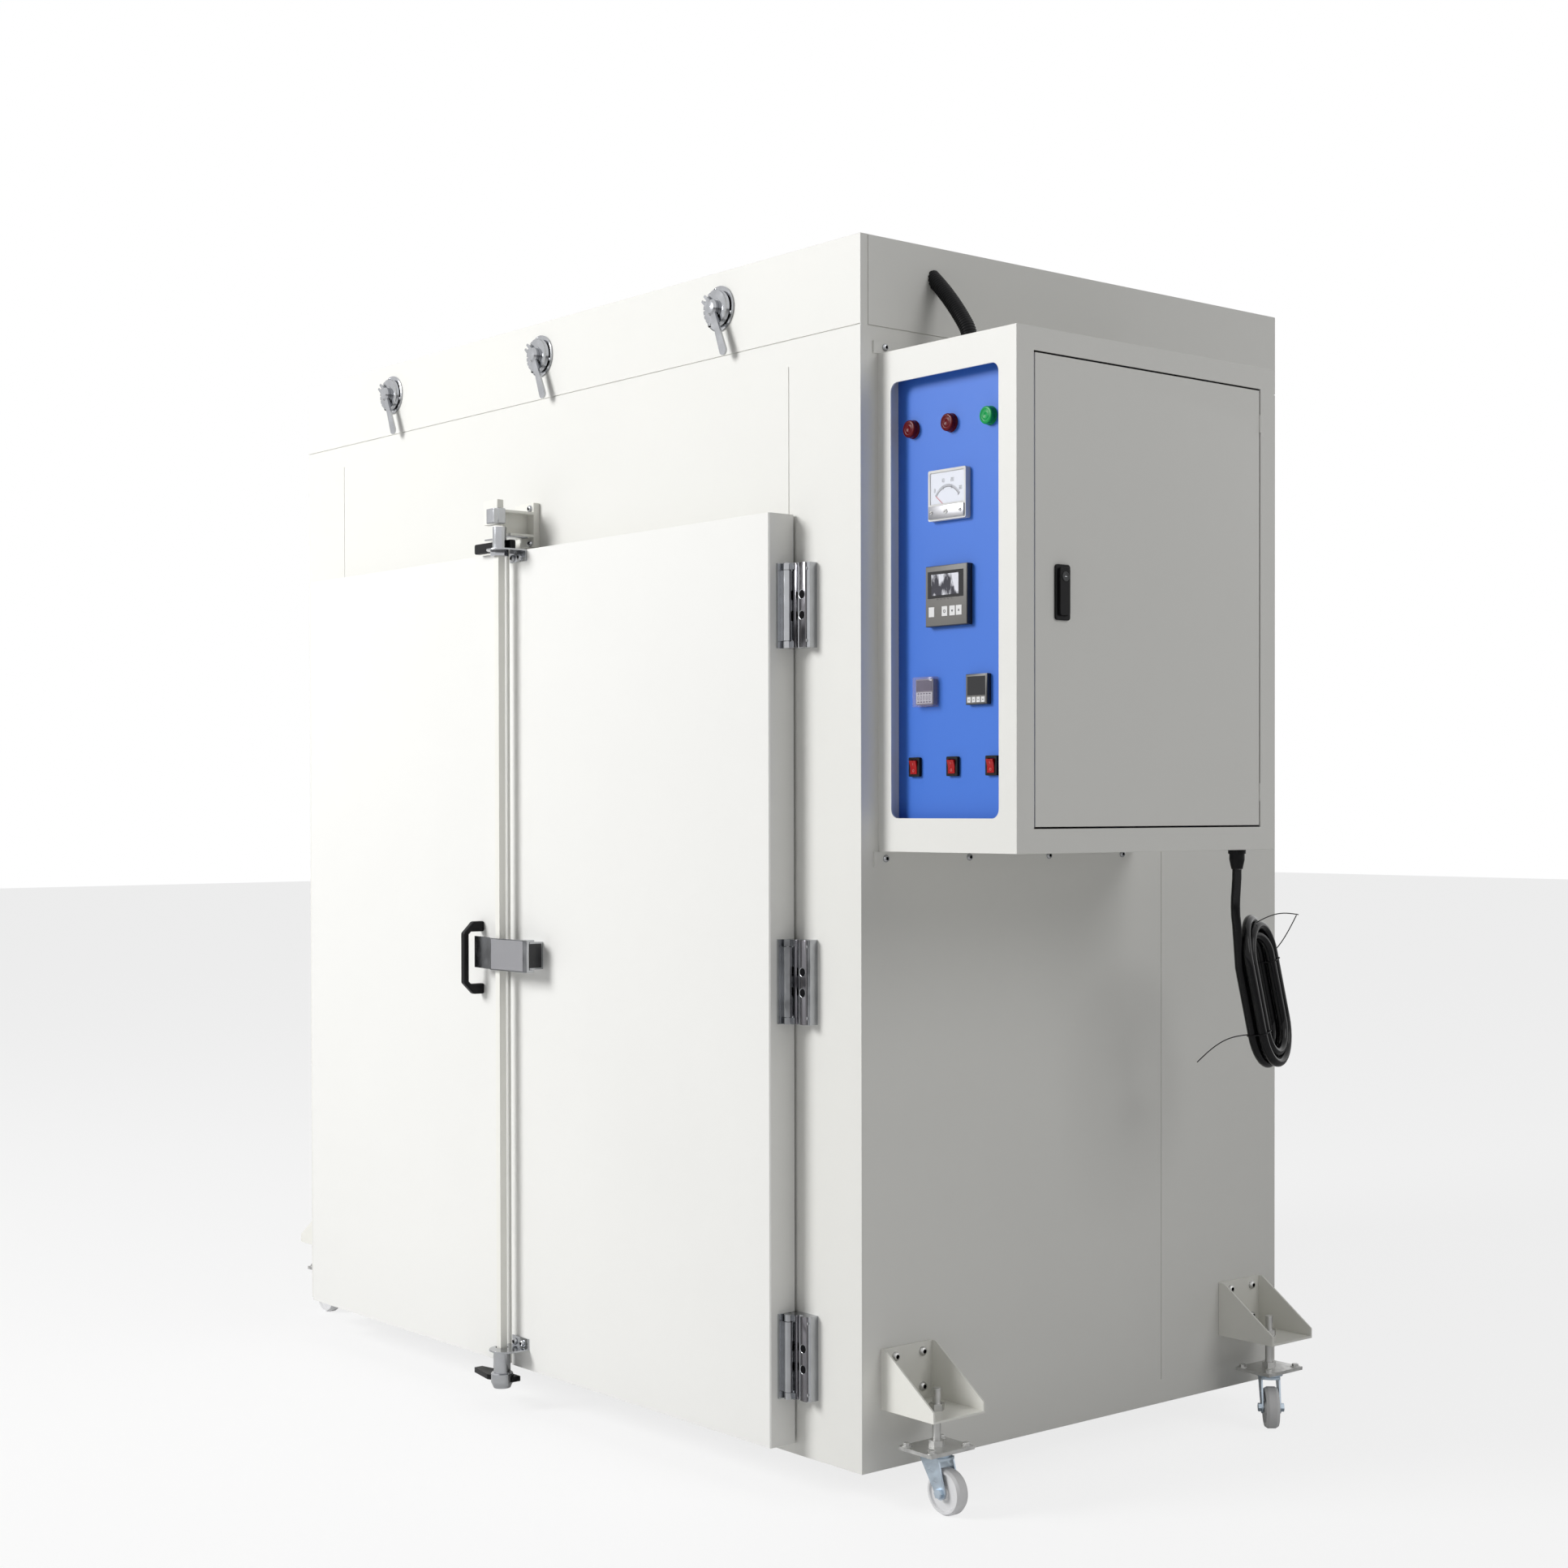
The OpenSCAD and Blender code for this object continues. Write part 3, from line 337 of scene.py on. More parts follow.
def turned(shape, profile, place, steps=32, mark=0):
    """A lathe: the profile's (radius, height) points in millimetres spin about Z."""
    dots = [shape.verts.new((r / 1000, 0, h / 1000)) for r, h in profile]
    lines = [shape.edges.new(pair) for pair in zip(dots, dots[1:])]
    made = bmesh.ops.spin(shape, geom=dots + lines, cent=(0, 0, 0), axis=(0, 0, 1), dvec=(0, 0, 0),
                          angle=2 * pi, steps=steps, use_merge=True, use_normal_flip=False,
                          use_duplicate=False)
    faces = {f for v in dots for f in v.link_faces}
    grown = set(faces)
    while faces:
        faces = {f for g in faces for e in g.edges for f in e.link_faces} - grown
        grown |= faces
    verts = {v for f in grown for v in f.verts}
    bmesh.ops.remove_doubles(shape, verts=list(verts), dist=1e-6)
    grown = [f for f in grown if f.is_valid]
    verts = list({v for f in grown for v in f.verts})
    bmesh.ops.transform(shape, matrix=place, verts=verts)
    for f in grown:
        f.material_index = mark
    return verts


def tube(name, points, radius, material, body="oven", closed=False, resolution=4):
    """A round bar or wire along points, as a curve with thickness."""
    curve = bpy.data.curves.new(name, "CURVE")
    curve.dimensions = "3D"
    curve.bevel_depth = radius
    curve.bevel_resolution = resolution
    curve.use_fill_caps = True
    spline = curve.splines.new("POLY")
    spline.points.add(len(points) - 1)
    for dot, point in zip(spline.points, points):
        dot.co = (*point, 1)
    spline.use_cyclic_u = closed
    spline.use_smooth = True
    curve.materials.append(material)
    made = bpy.data.objects.new(name, curve)
    bpy.context.scene.collection.objects.link(made)
    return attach(made, body)


print("piece, turned and tube are ready")

# %% [markdown]
# The power cable drops from its gland and is wound into a hank that hangs beside
# the wall. It is one curve: first the short lead that the drawing fixes, then
# four turns, two beside two. Where one turn passes to the next, the neighbours
# bulge a little so that the strands never pass through each other.

# %% The power cable
CABLE_D = 16
GLAND = (256, 622, 1006)
LEAD = [(0, 0, -34.3), (0, -0.5, -50), (0, -2, -66), (0, -3.5, -82), (0, -4, -98),
        (0, -3, -114), (0, -0.2, -130)]
HANK_WIDE, HANK_LONG = 144, 262
HANK_TURNED = (radians(9), radians(-8), radians(20))
lead_end = at(*(g + p for g, p in zip(GLAND, LEAD[-1])))
hank_place = Matrix.Translation(lead_end) @ (
    Matrix.Rotation(HANK_TURNED[2], 4, "Z") @ Matrix.Rotation(HANK_TURNED[1], 4, "Y")
    @ Matrix.Rotation(HANK_TURNED[0], 4, "X"))


def hank_point(side, across, along):
    return hank_place @ (Vector((side, across, along)) / 1000)


def turn_of_hank(half, side, next_half, next_side, bulge):
    """One loop down, round the bottom, up and over the top into the next loop."""
    middle = (HANK_WIDE - CABLE_D) / 2
    top, low = -HANK_WIDE / 2, -HANK_LONG + HANK_WIDE / 2
    run = [(side, middle - half, top + (low - top) * i / 8) for i in range(9)]
    run += [(side, middle - half * cos(pi * i / 18), low - half * sin(pi * i / 18))
            for i in range(1, 19)]
    run += [(side, middle + half, low + (top - low) * i / 8) for i in range(1, 9)]
    for i in range(1, 22):
        share = i / 22
        ease = share * share * (3 - 2 * share)
        wide = half + (next_half - half) * ease + bulge * sin(pi * share)
        run.append((side + (next_side - side) * ease, middle + wide * cos(pi * share),
                    top + wide * sin(pi * share)))
    return run


wide, slim, left, right = 64, 46, -9, 9
turns = (turn_of_hank(wide, left, wide, right, 5) + turn_of_hank(wide, right, slim, right, 0)
         + turn_of_hank(slim, right, slim, left, -5) + turn_of_hank(slim, left, slim, left, 0))
settle = [(left * s, 0, -72 * s) for s in (0.2, 0.5, 0.8)]
route = [at(*(g + p for g, p in zip(GLAND, dot))) for dot in LEAD]
route += [hank_point(*dot) for dot in settle + turns]


def cut_to(points, length):
    kept, run = [points[0]], 0.0
    for a, b in zip(points, points[1:]):
        step = (b - a).length
        if run + step >= length:
            kept.append(a + (b - a) * (length - run) / step)
            return kept
        kept.append(b)
        run += step
    return kept


CABLE_LENGTH = 2.4
route = cut_to(route, CABLE_LENGTH)
cable = tube("power_cable_run", route, CABLE_D / 2000, cable_sheath, resolution=6)
cable_made = sum((b - a).length for a, b in zip(route, route[1:]))
print("cable of", round(cable_made, 4), "m in", len(route), "points")

# %% [markdown]
# Two nylon ties hold the hank. Each is a closed band round one run of strands,
# and its long tail was never trimmed, so it springs away as a thin curved wire. The
# tail of a third tie, hidden among the turns, sticks out at the top.

# %% Ties on the hank


def band(name, centre_across, height, half_side, half_across):
    loop = []
    for i in range(40):
        a = 2 * pi * i / 40
        bow = (abs(cos(a)) ** 4 + abs(sin(a)) ** 4) ** -0.25
        side, across = half_side * bow * cos(a), centre_across + half_across * bow * sin(a)
        loop.append(hank_point(side, across, height))
    return tube(name, loop, 0.0011, black_plastic, closed=True)


def tail(name, start, reach, sag):
    steps = 14
    points = [start + reach * (i / steps) + Vector((0, 0, sag * sin(pi * i / steps)))
              for i in range(steps + 1)]
    return tube(name, points, 0.0009, black_plastic)


low_tie = band("cable_tie_low", 9, -190, 18.4, 18.2)
high_tie = band("cable_tie_high", 119, -86, 18.4, 18.2)
low_tail = tail("cable_tie_low_tail", hank_point(-18.6, 6, -190),
                Vector((-0.075, -0.045, -0.05)), 0.012)
high_tail = tail("cable_tie_high_tail", hank_point(-10, 137, -86),
                 Vector((0.02, 0.06, 0.075)), -0.01)
top_tail = tail("cable_tie_top_tail", hank_point(14, 60, -8), Vector((0.03, 0.075, 0.012)), 0.008)
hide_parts("power_cable", "cable_hank")
print("ties:", low_tie.name, high_tie.name)

# %% [markdown]
# No folded sheet or casting has a knife edge. A thin bevel along the outer edges
# catches the light as the real fold does. The CAD mesh may not change, so
# `softened` bevels a merged copy, which then stands for the node.

# %% Soft edges on a copy of a node


def planes_of(low, high, names="xXyYzZ"):
    """The outer faces of a box as (axis, place): small letters are the low ones."""
    faces = [("xyz".index(n.lower()), low if n.islower() else high) for n in names]
    return [(axis, corner[axis]) for axis, corner in faces]


def softened(source, width, material, planes=None, segments=2, steep=30):
    shape = bmesh.new()
    shape.from_mesh(nodes[source].data)
    bmesh.ops.remove_doubles(shape, verts=shape.verts, dist=1e-5)
    bmesh.ops.dissolve_limit(shape, angle_limit=radians(1), verts=shape.verts, edges=shape.edges)
    chosen = []
    for edge in shape.edges:
        if len(edge.link_faces) != 2 or not edge.is_convex:
            continue
        if edge.calc_face_angle(0) < radians(steep):
            continue
        middle = (edge.verts[0].co + edge.verts[1].co) / 2
        on = sum(abs(middle[axis] - place) < 2e-4 for axis, place in planes or [])
        if planes is None or on >= 2:
            chosen.append(edge)
    bmesh.ops.bevel(shape, geom=chosen, offset=width / 1000, offset_type="OFFSET",
                    segments=segments, profile=0.5, affect="EDGES", material=-1, clamp_overlap=True)
    made = piece(source + "_dressed", shape, material, nodes[source]["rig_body"], clean=False)
    made.modifiers.new("even shading", "WEIGHTED_NORMAL").keep_sharp = True
    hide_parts(source)
    return made


body_planes = planes_of(at(-1840, 0, 0), at(0, 1040, 2000))
cabinet_planes = planes_of(at(0, 37, 1006), at(316, 646, 1810), "XyYzZ")
for source in ("left_wall", "right_wall", "top_housing", "top_fascia"):
    softened(source, 1.6, body_paint, body_planes)
for source in ("cabinet_case", "cabinet_face", "cabinet_side"):
    softened(source, 1.3, body_paint, cabinet_planes)
for source in ("door_right", "door_left"):
    low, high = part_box(source)
    softened(source, 1.8, door_paint, planes_of(low, Vector((high.x, at(0, -4, 0).y, high.z))))
low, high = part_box("cabinet_door")
softened("cabinet_door", 1.2, body_paint, planes_of(low, high))
print("soft edges on the sheet metal")

# %% Soft edges on the fittings
for source, width, material in (
        ("latch_lever", 0.9, chrome), ("latch_base", 1.0, chrome), ("keeper_block", 2.2, chrome),
        ("keeper_bracket", 0.9, bracket_paint), ("caster_brackets", 0.8, bracket_paint),
        ("lock_rod", 1.2, bracket_paint), ("rod_arms", 1.0, black_plastic),
        ("rod_guides", 0.5, chrome), ("cabinet_lock", 1.0, black_plastic),
        ("hinge_bases", 0.6, chrome)):
    softened(source, width, material)
softened("pull_handle", 3.0, black_plastic, segments=3)
print("soft edges on the fittings")

# %% [markdown]
# The inner face of each door is a pressed stainless pan. A box with soft edges
# is inset once and pushed out a little, which gives the flat rim and the raised
# field that stiffen a real pan. It is a skin on the door's solid.

# %% Inner door pans
PAN_SKIN = 0.6
PAN_RIM, PAN_SLOPE, PAN_RAISED, PAN_EDGE = 0.055, 0.004, 0.003, 0.003


def door_pan(name, low_x, high_x, body):
    low = at(low_x - PAN_SKIN, -4, 94 - PAN_SKIN)
    high = at(high_x + PAN_SKIN, 36 + PAN_SKIN, 1499 + PAN_SKIN)
    shape = bmesh.new()
    bmesh.ops.create_cube(shape, size=1, matrix=Matrix.Translation((low + high) / 2)
                          @ Matrix.Diagonal((*(high - low), 1)))
    far = max(shape.faces, key=lambda f: f.calc_center_median().y)
    near = min(shape.faces, key=lambda f: f.calc_center_median().y)
    bmesh.ops.inset_region(shape, faces=[far], thickness=PAN_RIM, depth=0)
    bmesh.ops.inset_region(shape, faces=[far], thickness=PAN_SLOPE, depth=PAN_RAISED)
    bmesh.ops.delete(shape, geom=[near], context="FACES_ONLY")
    corners = [e for e in shape.edges
               if len(e.link_faces) == 2 and e.calc_face_angle(0) > radians(60)]
    bmesh.ops.bevel(shape, geom=corners, offset=PAN_EDGE, offset_type="OFFSET", segments=3,
                    profile=0.5, affect="EDGES", material=-1, clamp_overlap=True)
    made = piece(name, shape, stainless, body)
    made.modifiers.new("even shading", "WEIGHTED_NORMAL").keep_sharp = True
    return made


door_pan("door_pan_right", -933, -228, "right_door")
door_pan("door_pan_left", -1664, -971, "left_door")
print("pans on both doors")

# %% [markdown]
# Screws are one lathe profile, repeated at each place: a domed head with a dished
# socket, coloured near black as painted shade. A hexagon bolt is the same lathe in six steps,
# on a round washer. Each group of screws is one piece, because they never part from what they hold.

# %% Screws and bolts
FRONT, RIGHT, LEFT, UP = (0, -1, 0), (1, 0, 0), (-1, 0, 0), (0, 0, 1)
HINGE_HEIGHTS = (170, 790, 1410)
HINGE_PINS = {"right": (-152, 1), "left": (-1740, -1)}
CASTER_Y, CASTER_X = (97, 934), (72, -1912)
# Near black and almost without gloss: painted shade inside screw sockets and holes.
hole_painted_shade = plain("socket_shadow", (0.006, 0.006, 0.007), 0.8, Specular_IOR_Level=0.05)


def screws(name, places, direction, radius, height, material=chrome, body="oven"):
    shape = bmesh.new()
    for point in places:
        place = facing(at(*point), direction)
        turned(shape, [(radius * 1.02, -0.2), (radius, height * 0.35),
                       (radius * 0.86, height * 0.75), (radius * 0.62, height * 0.98),
                       (radius * 0.48, height)], place, 20)
        # The dished socket is coloured with painted shade.
        turned(shape, [(radius * 0.48, height), (radius * 0.46, height * 0.3), (0, height * 0.25)],
               place, 6, 1)
    return piece(name, shape, [material, hole_painted_shade], body)


def hex_bolts(name, places, direction, radius, height, washer, material=steel, body="oven"):
    shape = bmesh.new()
    for i, point in enumerate(places):
        place = facing(at(*point), direction, 0.4 * i)
        turned(shape, [(washer, -0.2), (washer, 1.1), (radius * 0.9, 1.4)], place, 28)
        turned(shape, [(radius, 1.2), (radius, height - 0.8), (radius * 0.86, height), (0, height)],
               place, 6)
    return piece(name, shape, material, body)


def on_hinges(side, dots):
    """Dots (out from the pin, y, up) on the three hinges of one side."""
    pin, way = HINGE_PINS[side]
    return [(pin + way * x, y, z + up) for x, y, up in dots for z in HINGE_HEIGHTS]


corners = [(x, y, up) for x, y in ((4, -22.1), (37.5, -19.6)) for up in (-59, 59)]
for side in HINGE_PINS:
    screws(f"hinge_screws_{side}", on_hinges(side, corners), FRONT, 3.4, 2.0)
holes = [(x, -9.5, up) for x in (8, 27) for up in (-17, 17)]
for side in HINGE_PINS:
    screws(f"hinge_sunk_screws_{side}", on_hinges(side, holes), FRONT, 7.4, 3.0, case_black)
print("screws on a hinge:", len(corners), "small and", len(holes), "sunk")

# %% [markdown]
# The front of each hinge leaf carries two upright bands of darker chrome, whose colour
# is a painted reflection of the dark room in front of the oven. The outer band carries a column
# of two holes, and the countersink of each shows as a thin bright rim round a disc of painted
# shade.

# %% Bands and rims of the hinges
BAND_DEEP, BAND_TALL = 0.0036, 0.1394
shape = bmesh.new()
for side in HINGE_PINS:
    for x, wide in ((13.2, 7.6), (32, 15.5)):
        for point in on_hinges(side, [(x, -21.7, 0)]):
            bmesh.ops.create_cube(shape, size=1, matrix=Matrix.Translation(at(*point))
                                  @ Matrix.Diagonal((wide / 1000, BAND_DEEP, BAND_TALL, 1)))
bmesh.ops.bevel(shape, geom=shape.edges[:], offset=0.0006, offset_type="OFFSET", segments=2,
                profile=0.5, affect="EDGES", material=-1, clamp_overlap=True)
# The darker chrome of the bands is a painted dark reflection.
bands = piece("hinge_face_bands", shape, chrome_painted_reflection)
shape = bmesh.new()
for side in HINGE_PINS:
    for point in on_hinges(side, [(32, -23.4, up) for up in (-17, 17)]):
        place = facing(at(*point), FRONT)
        turned(shape, [(7.7, 0), (7.6, 0.4), (7.2, 0.4), (6.9, 0.15)], place, 28)
        # Inside each rim, a disc of painted shade stands for the hole.
        turned(shape, [(7.0, 0), (7.0, 0.15), (0, 0.15)], place, 28, 1)
rims = piece("hinge_hole_rims", shape, [chrome, hole_painted_shade], flat_below=40)
print("hinge bands:", len(bands.data.polygons), "faces, rims:", len(rims.data.polygons), "faces")

# %% [markdown]
# The other screws hold the rod's guides, the keeper, the flange round the cabinet
# and the brackets of the casters. Their places were read from the photograph, each
# on the plane that carries it, and the far casters repeat the near ones.

# %% Screws of the lock, the cabinet and the casters
guide_screws = [(x, -60, z) for x in (-929, -904) for z in (1549, 67)]
screws("rod_guide_screws", guide_screws, FRONT, 6.5, 4.5, body="right_door")
screws("keeper_screws", [(-938, -14, 1647), (-938, -14, 1581)], FRONT, 6.5, 5)
flange_screws = [(3, y, z) for z, row in (
    (994.5, (50.6, 238, 427.6, 612.3)), (1821, (50.3, 238, 427.6, 612.3))) for y in row]
screws("cabinet_flange_screws", flange_screws, RIGHT, 6, 4)
bracket_bolts = [(y + dy, z) for y in CASTER_Y for dy in (-28, 32) for z in (183, 125)]
screws("caster_bolts_right", [(4, y, z) for y, z in bracket_bolts], RIGHT, 7.5, 6, steel)
screws("caster_bolts_left", [(-1844, y, z) for y, z in bracket_bolts], LEFT, 7.5, 6, steel)
plate_bolts = [(x + dx, y + dy, 46) for x in CASTER_X for y in CASTER_Y
               for dx in (-30, 30) for dy in (-38, 38)]
hex_bolts("caster_plate_bolts", plate_bolts, UP, 6, 5.5, 8.5)
print("flange screws:", len(flange_screws), "caster plate bolts:", len(plate_bolts))

# %% [markdown]
# The conduit is a corrugated plastic hose. It is one curve again: the points sit
# a quarter of a rib apart, and their radius swells on each rib and shrinks in
# each valley.

# %% Corrugated conduit
RIB_PITCH = 4.4
RIB_SHARES = (0.84, 0.95, 1.0, 0.95)
CONDUIT_Y, WALL_HOLE_Z, CABINET_ROOF = 161, 1947, 1810
SLACK_R, BEND_R = 500, 60
WALL_SLANT, BEND_SLANT = 42, 55


def slanted(middle_x, middle_z, radius, angles):
    """Points of an arc of hose at slants in degrees below level."""
    return [(middle_x + radius * sin(radians(a)), CONDUIT_Y, middle_z + radius * cos(radians(a)))
            for a in angles]


slack_x = -SLACK_R * sin(radians(WALL_SLANT))
slack_z = WALL_HOLE_Z - SLACK_R * cos(radians(WALL_SLANT))
bend_x = slack_x + (SLACK_R - BEND_R) * sin(radians(BEND_SLANT))
bend_z = slack_z + (SLACK_R - BEND_R) * cos(radians(BEND_SLANT))
conduit_line = slanted(slack_x, slack_z, SLACK_R, range(WALL_SLANT - 1, BEND_SLANT))
conduit_line += slanted(bend_x, bend_z, BEND_R, range(BEND_SLANT, 91, 5))
conduit_line.append((bend_x + BEND_R, CONDUIT_Y, CABINET_ROOF))


def walk(points, step):
    """Points at even steps along a line."""
    made, left = [], 0.0
    for a, b in zip(points, points[1:]):
        a, b = Vector(a), Vector(b)
        length = (b - a).length
        while left < length:
            made.append(a + (b - a) * (left / length))
            left += step
        left -= length
    return made


hose_line = [at(*dot) for dot in walk(conduit_line, RIB_PITCH / 4)]
conduit = tube("conduit_hose", hose_line, 0.0135, black_plastic, resolution=5)
for i, dot in enumerate(conduit.data.splines[0].points):
    dot.radius = RIB_SHARES[i % 4]
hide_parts("conduit")
print("conduit steps:", len(hose_line))

# %% [markdown]
# The control panel carries bought-in parts. Lenses, screens and covers are glossy,
# the instrument faces are matt, and the clear covers are thin boxes whose alpha
# lets the face behind show through.

# %% Finishes of the panel parts
lens_red = plain("lens_red", (0.11, 0.002, 0.006), 0.24, Specular_IOR_Level=0.16)
lens_green = plain("lens_green", (0.006, 0.32, 0.08), 0.24, Specular_IOR_Level=0.2)
screen_black = plain("screen_black", (0.008, 0.008, 0.010), 0.06)
face_grey = plain("face_grey", (0.155, 0.15, 0.14), 0.5)
key_white = plain("key_white", (0.72, 0.72, 0.72), 0.4)
dial_white = plain("dial_white", (0.80, 0.83, 0.90), 0.35)
print_ink_and_slot_shade = plain("print_ink_and_slot_shade", (0.015, 0.015, 0.02), 0.6)
needle_red = plain("needle_red", (0.65, 0.02, 0.03), 0.4)
rocker_ink = plain("rocker_ink", (0.62, 0.20, 0.18), 0.4)
clear_cover = plain("clear_cover", (0.86, 0.86, 0.92), 0.05, Alpha=0.09)
smoked_cover = plain("smoked_cover", (0.50, 0.44, 0.62), 0.07, Alpha=0.27)
# The film's colour runs from near black to bright silver along the creases: painted highlights and
# painted shade of the wrinkles.
film_painted_highlight, tree, shader = finish("creased_film_painted_sheen", (0.5, 0.5, 0.55), roughness=0.15)
creases = object_noise(tree, 70, 3.0, (1, 1, 0.45))
painted_glint_colour = ramp(tree, creases, 0.44, 0.56, (0.03, 0.03, 0.045), (0.75, 0.76, 0.82))
tree.links.new(painted_glint_colour, shader.inputs["Base Color"])
bump(tree, shader, creases, 0.0008)
print("panel finishes:", len(made_materials))

# %% [markdown]
# Three helpers do the small work. `slab` is a box with soft corners, `bar` a thin
# printed stroke, and `digits` writes plain numbers with the seven strokes that a
# digital display uses.

# %% Slabs, bars and digits


def slab(shape, low, high, mark=0, edge=0.0, segments=2):
    a, b = at(*low), at(*high)
    size = [abs(c) for c in b - a]
    made = bmesh.ops.create_cube(shape, size=1, matrix=Matrix.Translation((a + b) / 2)
                                 @ Matrix.Diagonal((*size, 1)))["verts"]
    for f in {f for v in made for f in v.link_faces}:
        f.material_index = mark
    if edge:
        bmesh.ops.bevel(shape, geom=list({e for v in made for e in v.link_edges}),
                        offset=edge / 1000, offset_type="OFFSET", segments=segments, profile=0.5,
                        affect="EDGES", material=-1, clamp_overlap=True)


def bar(shape, place, start, end, width, mark=0, lift=0.15):
    """A stroke from start to end, (across, up) in millimetres on the face at place."""
    along = Vector((end[0] - start[0], end[1] - start[1]))
    middle = Vector(((end[0] + start[0]) / 2, (end[1] + start[1]) / 2, lift / 2)) / 1000
    turn = Matrix.Rotation(along.angle_signed(Vector((1, 0)), 0), 4, "Z")
    size = Matrix.Diagonal((along.length / 1000, width / 1000, lift / 1000, 1))
    made = bmesh.ops.create_cube(shape, size=1,
                                 matrix=place @ Matrix.Translation(middle) @ turn @ size)
    for f in {f for v in made["verts"] for f in v.link_faces}:
        f.material_index = mark


STROKES = {"a": ((0, 2), (1, 2)), "b": ((1, 1), (1, 2)), "c": ((1, 0), (1, 1)),
           "d": ((0, 0), (1, 0)), "e": ((0, 0), (0, 1)), "f": ((0, 1), (0, 2)),
           "g": ((0, 1), (1, 1))}
SHAPES = {"0": "abcdef", "1": "bc", "2": "abged", "3": "abgcd"}


def digits(shape, place, text, middle, height, width, mark=0, step=1.7):
    """Plain numbers in strokes, centred on a point of the face."""
    for n, sign in enumerate(text):
        x = middle[0] + (n - (len(text) - 1) / 2) * step * width - width / 2
        for stroke in SHAPES[sign]:
            (x0, z0), (x1, z1) = STROKES[stroke]
            bar(shape, place, (x + x0 * width, middle[1] + (z0 - 1) * height / 2),
                (x + x1 * width, middle[1] + (z1 - 1) * height / 2), height / 9, mark)


def face_at(x, y, z):
    """The place of a face that looks out of the panel: across is +x, up is +z."""
    return Matrix.Translation(at(x, y, z)) @ Matrix.Rotation(radians(90), 4, "X")


print("seven strokes draw", len(SHAPES), "digits")

# %% [markdown]
# A pilot lamp is a screw-in lens with a stepped rim and rings that spread the
# light. One lathe profile makes all three; two are red and the third is green.

# %% Pilot lamps
PANEL_Y = 62
LENS = [(15, 0), (15, 1.6), (14.4, 2.3), (14, 3), (14, 4.2), (13.5, 4.5), (14, 4.9), (14, 9.2),
        (13.4, 10.6), (12.2, 11.3), (10.4, 11.4), (10, 10.9), (7.4, 10.7), (7, 11.1), (4, 11.2),
        (3.6, 10.9), (0, 11)]
shape = bmesh.new()
for i, x in enumerate((58, 146, 234)):
    turned(shape, LENS, facing(at(x, PANEL_Y, 1683), FRONT), 40, i // 2)
lamps = piece("pilot_lenses", shape, [lens_red, lens_green], flat_below=50)
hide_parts("pilot_lamps")
print("lamps:", len(lamps.data.polygons), "faces")

# %% [markdown]
# The ammeter is a moving-coil dial. The scale is a flat arc of 100 degrees round the
# hidden pivot, with four numbered marks and finer ones between; the needle rests
# on zero. A bright cap with three screws hides the movement.

# %% Ammeter
softened("ammeter", 1.2, case_grey)
softened("switch_bezels", 0.8, black_plastic)
for name in numbered("rocker", 3):
    softened(name, 0.8, red_plastic)
shape = bmesh.new()
slab(shape, (107, 53.6, 1556.5), (185, 53.9, 1605), 0)
dial = face_at(146, 53.6, 1543)
SCALE_STEPS, TALL = 30, 1.18


def on_scale(step, radius):
    """A point of the scale, which is a little taller than a true circle."""
    angle = radians(140 - 100 * step / SCALE_STEPS)
    return radius * cos(angle), TALL * radius * sin(angle)


for n in range(SCALE_STEPS + 1):
    numbered_mark = n % 10 == 0
    bar(shape, dial, on_scale(n, 31 if numbered_mark else 33), on_scale(n, 36.5),
        1.2 if numbered_mark else 0.7, 1)
    if n < SCALE_STEPS:
        bar(shape, dial, on_scale(n, 33), on_scale(n + 1, 33), 0.8, 1)
    if numbered_mark:
        across, up = on_scale(n, 39)
        digits(shape, dial, str(n), (across * 38 / 39, up + 5.4), 5.2, 2.4, 1)
ammeter_dial = piece("ammeter_dial", shape, [dial_white, print_ink_and_slot_shade], clean=False)
shape = bmesh.new()
needle = face_at(146, 53.2, 1543)
bar(shape, needle, (-11, 13.5), (-26.4, 26), 1.0)
piece("ammeter_needle", shape, needle_red)
shape = bmesh.new()
slab(shape, (106.5, 52.2, 1556.2), (185.5, 52.8, 1605.8), 0, 0.2, 1)
piece("ammeter_glass", shape, clear_cover)
shape = bmesh.new()
slab(shape, (106, 49.4, 1533.2), (186, 51, 1553), 0, 0.6)
for x, radius in ((113, 2.8), (146, 4.2), (179, 2.8)):
    place = facing(at(x, 49.5, 1543), FRONT, 0.5)
    turned(shape, [(radius, -0.5), (radius, 0.9), (radius * 0.7, 1.5), (0, 1.6)], place, 24, 1)
    # The slot of each screw is a black bar of painted shade.
    bar(shape, place, (-radius * 0.8, 0), (radius * 0.8, 0), 0.8, 2, 1.75)
piece("ammeter_cap", shape, [satin_chrome, case_grey, print_ink_and_slot_shade])
print("ammeter dial:", len(ammeter_dial.data.polygons), "faces")

# %% [markdown]
# The temperature controller is a black case with a grey fascia. Its screen still
# wears a protective film, which wrinkles; its glints are painted highlights and painted shade, a
# noise-driven colour from near black to bright silver. Four membrane keys sit below it.

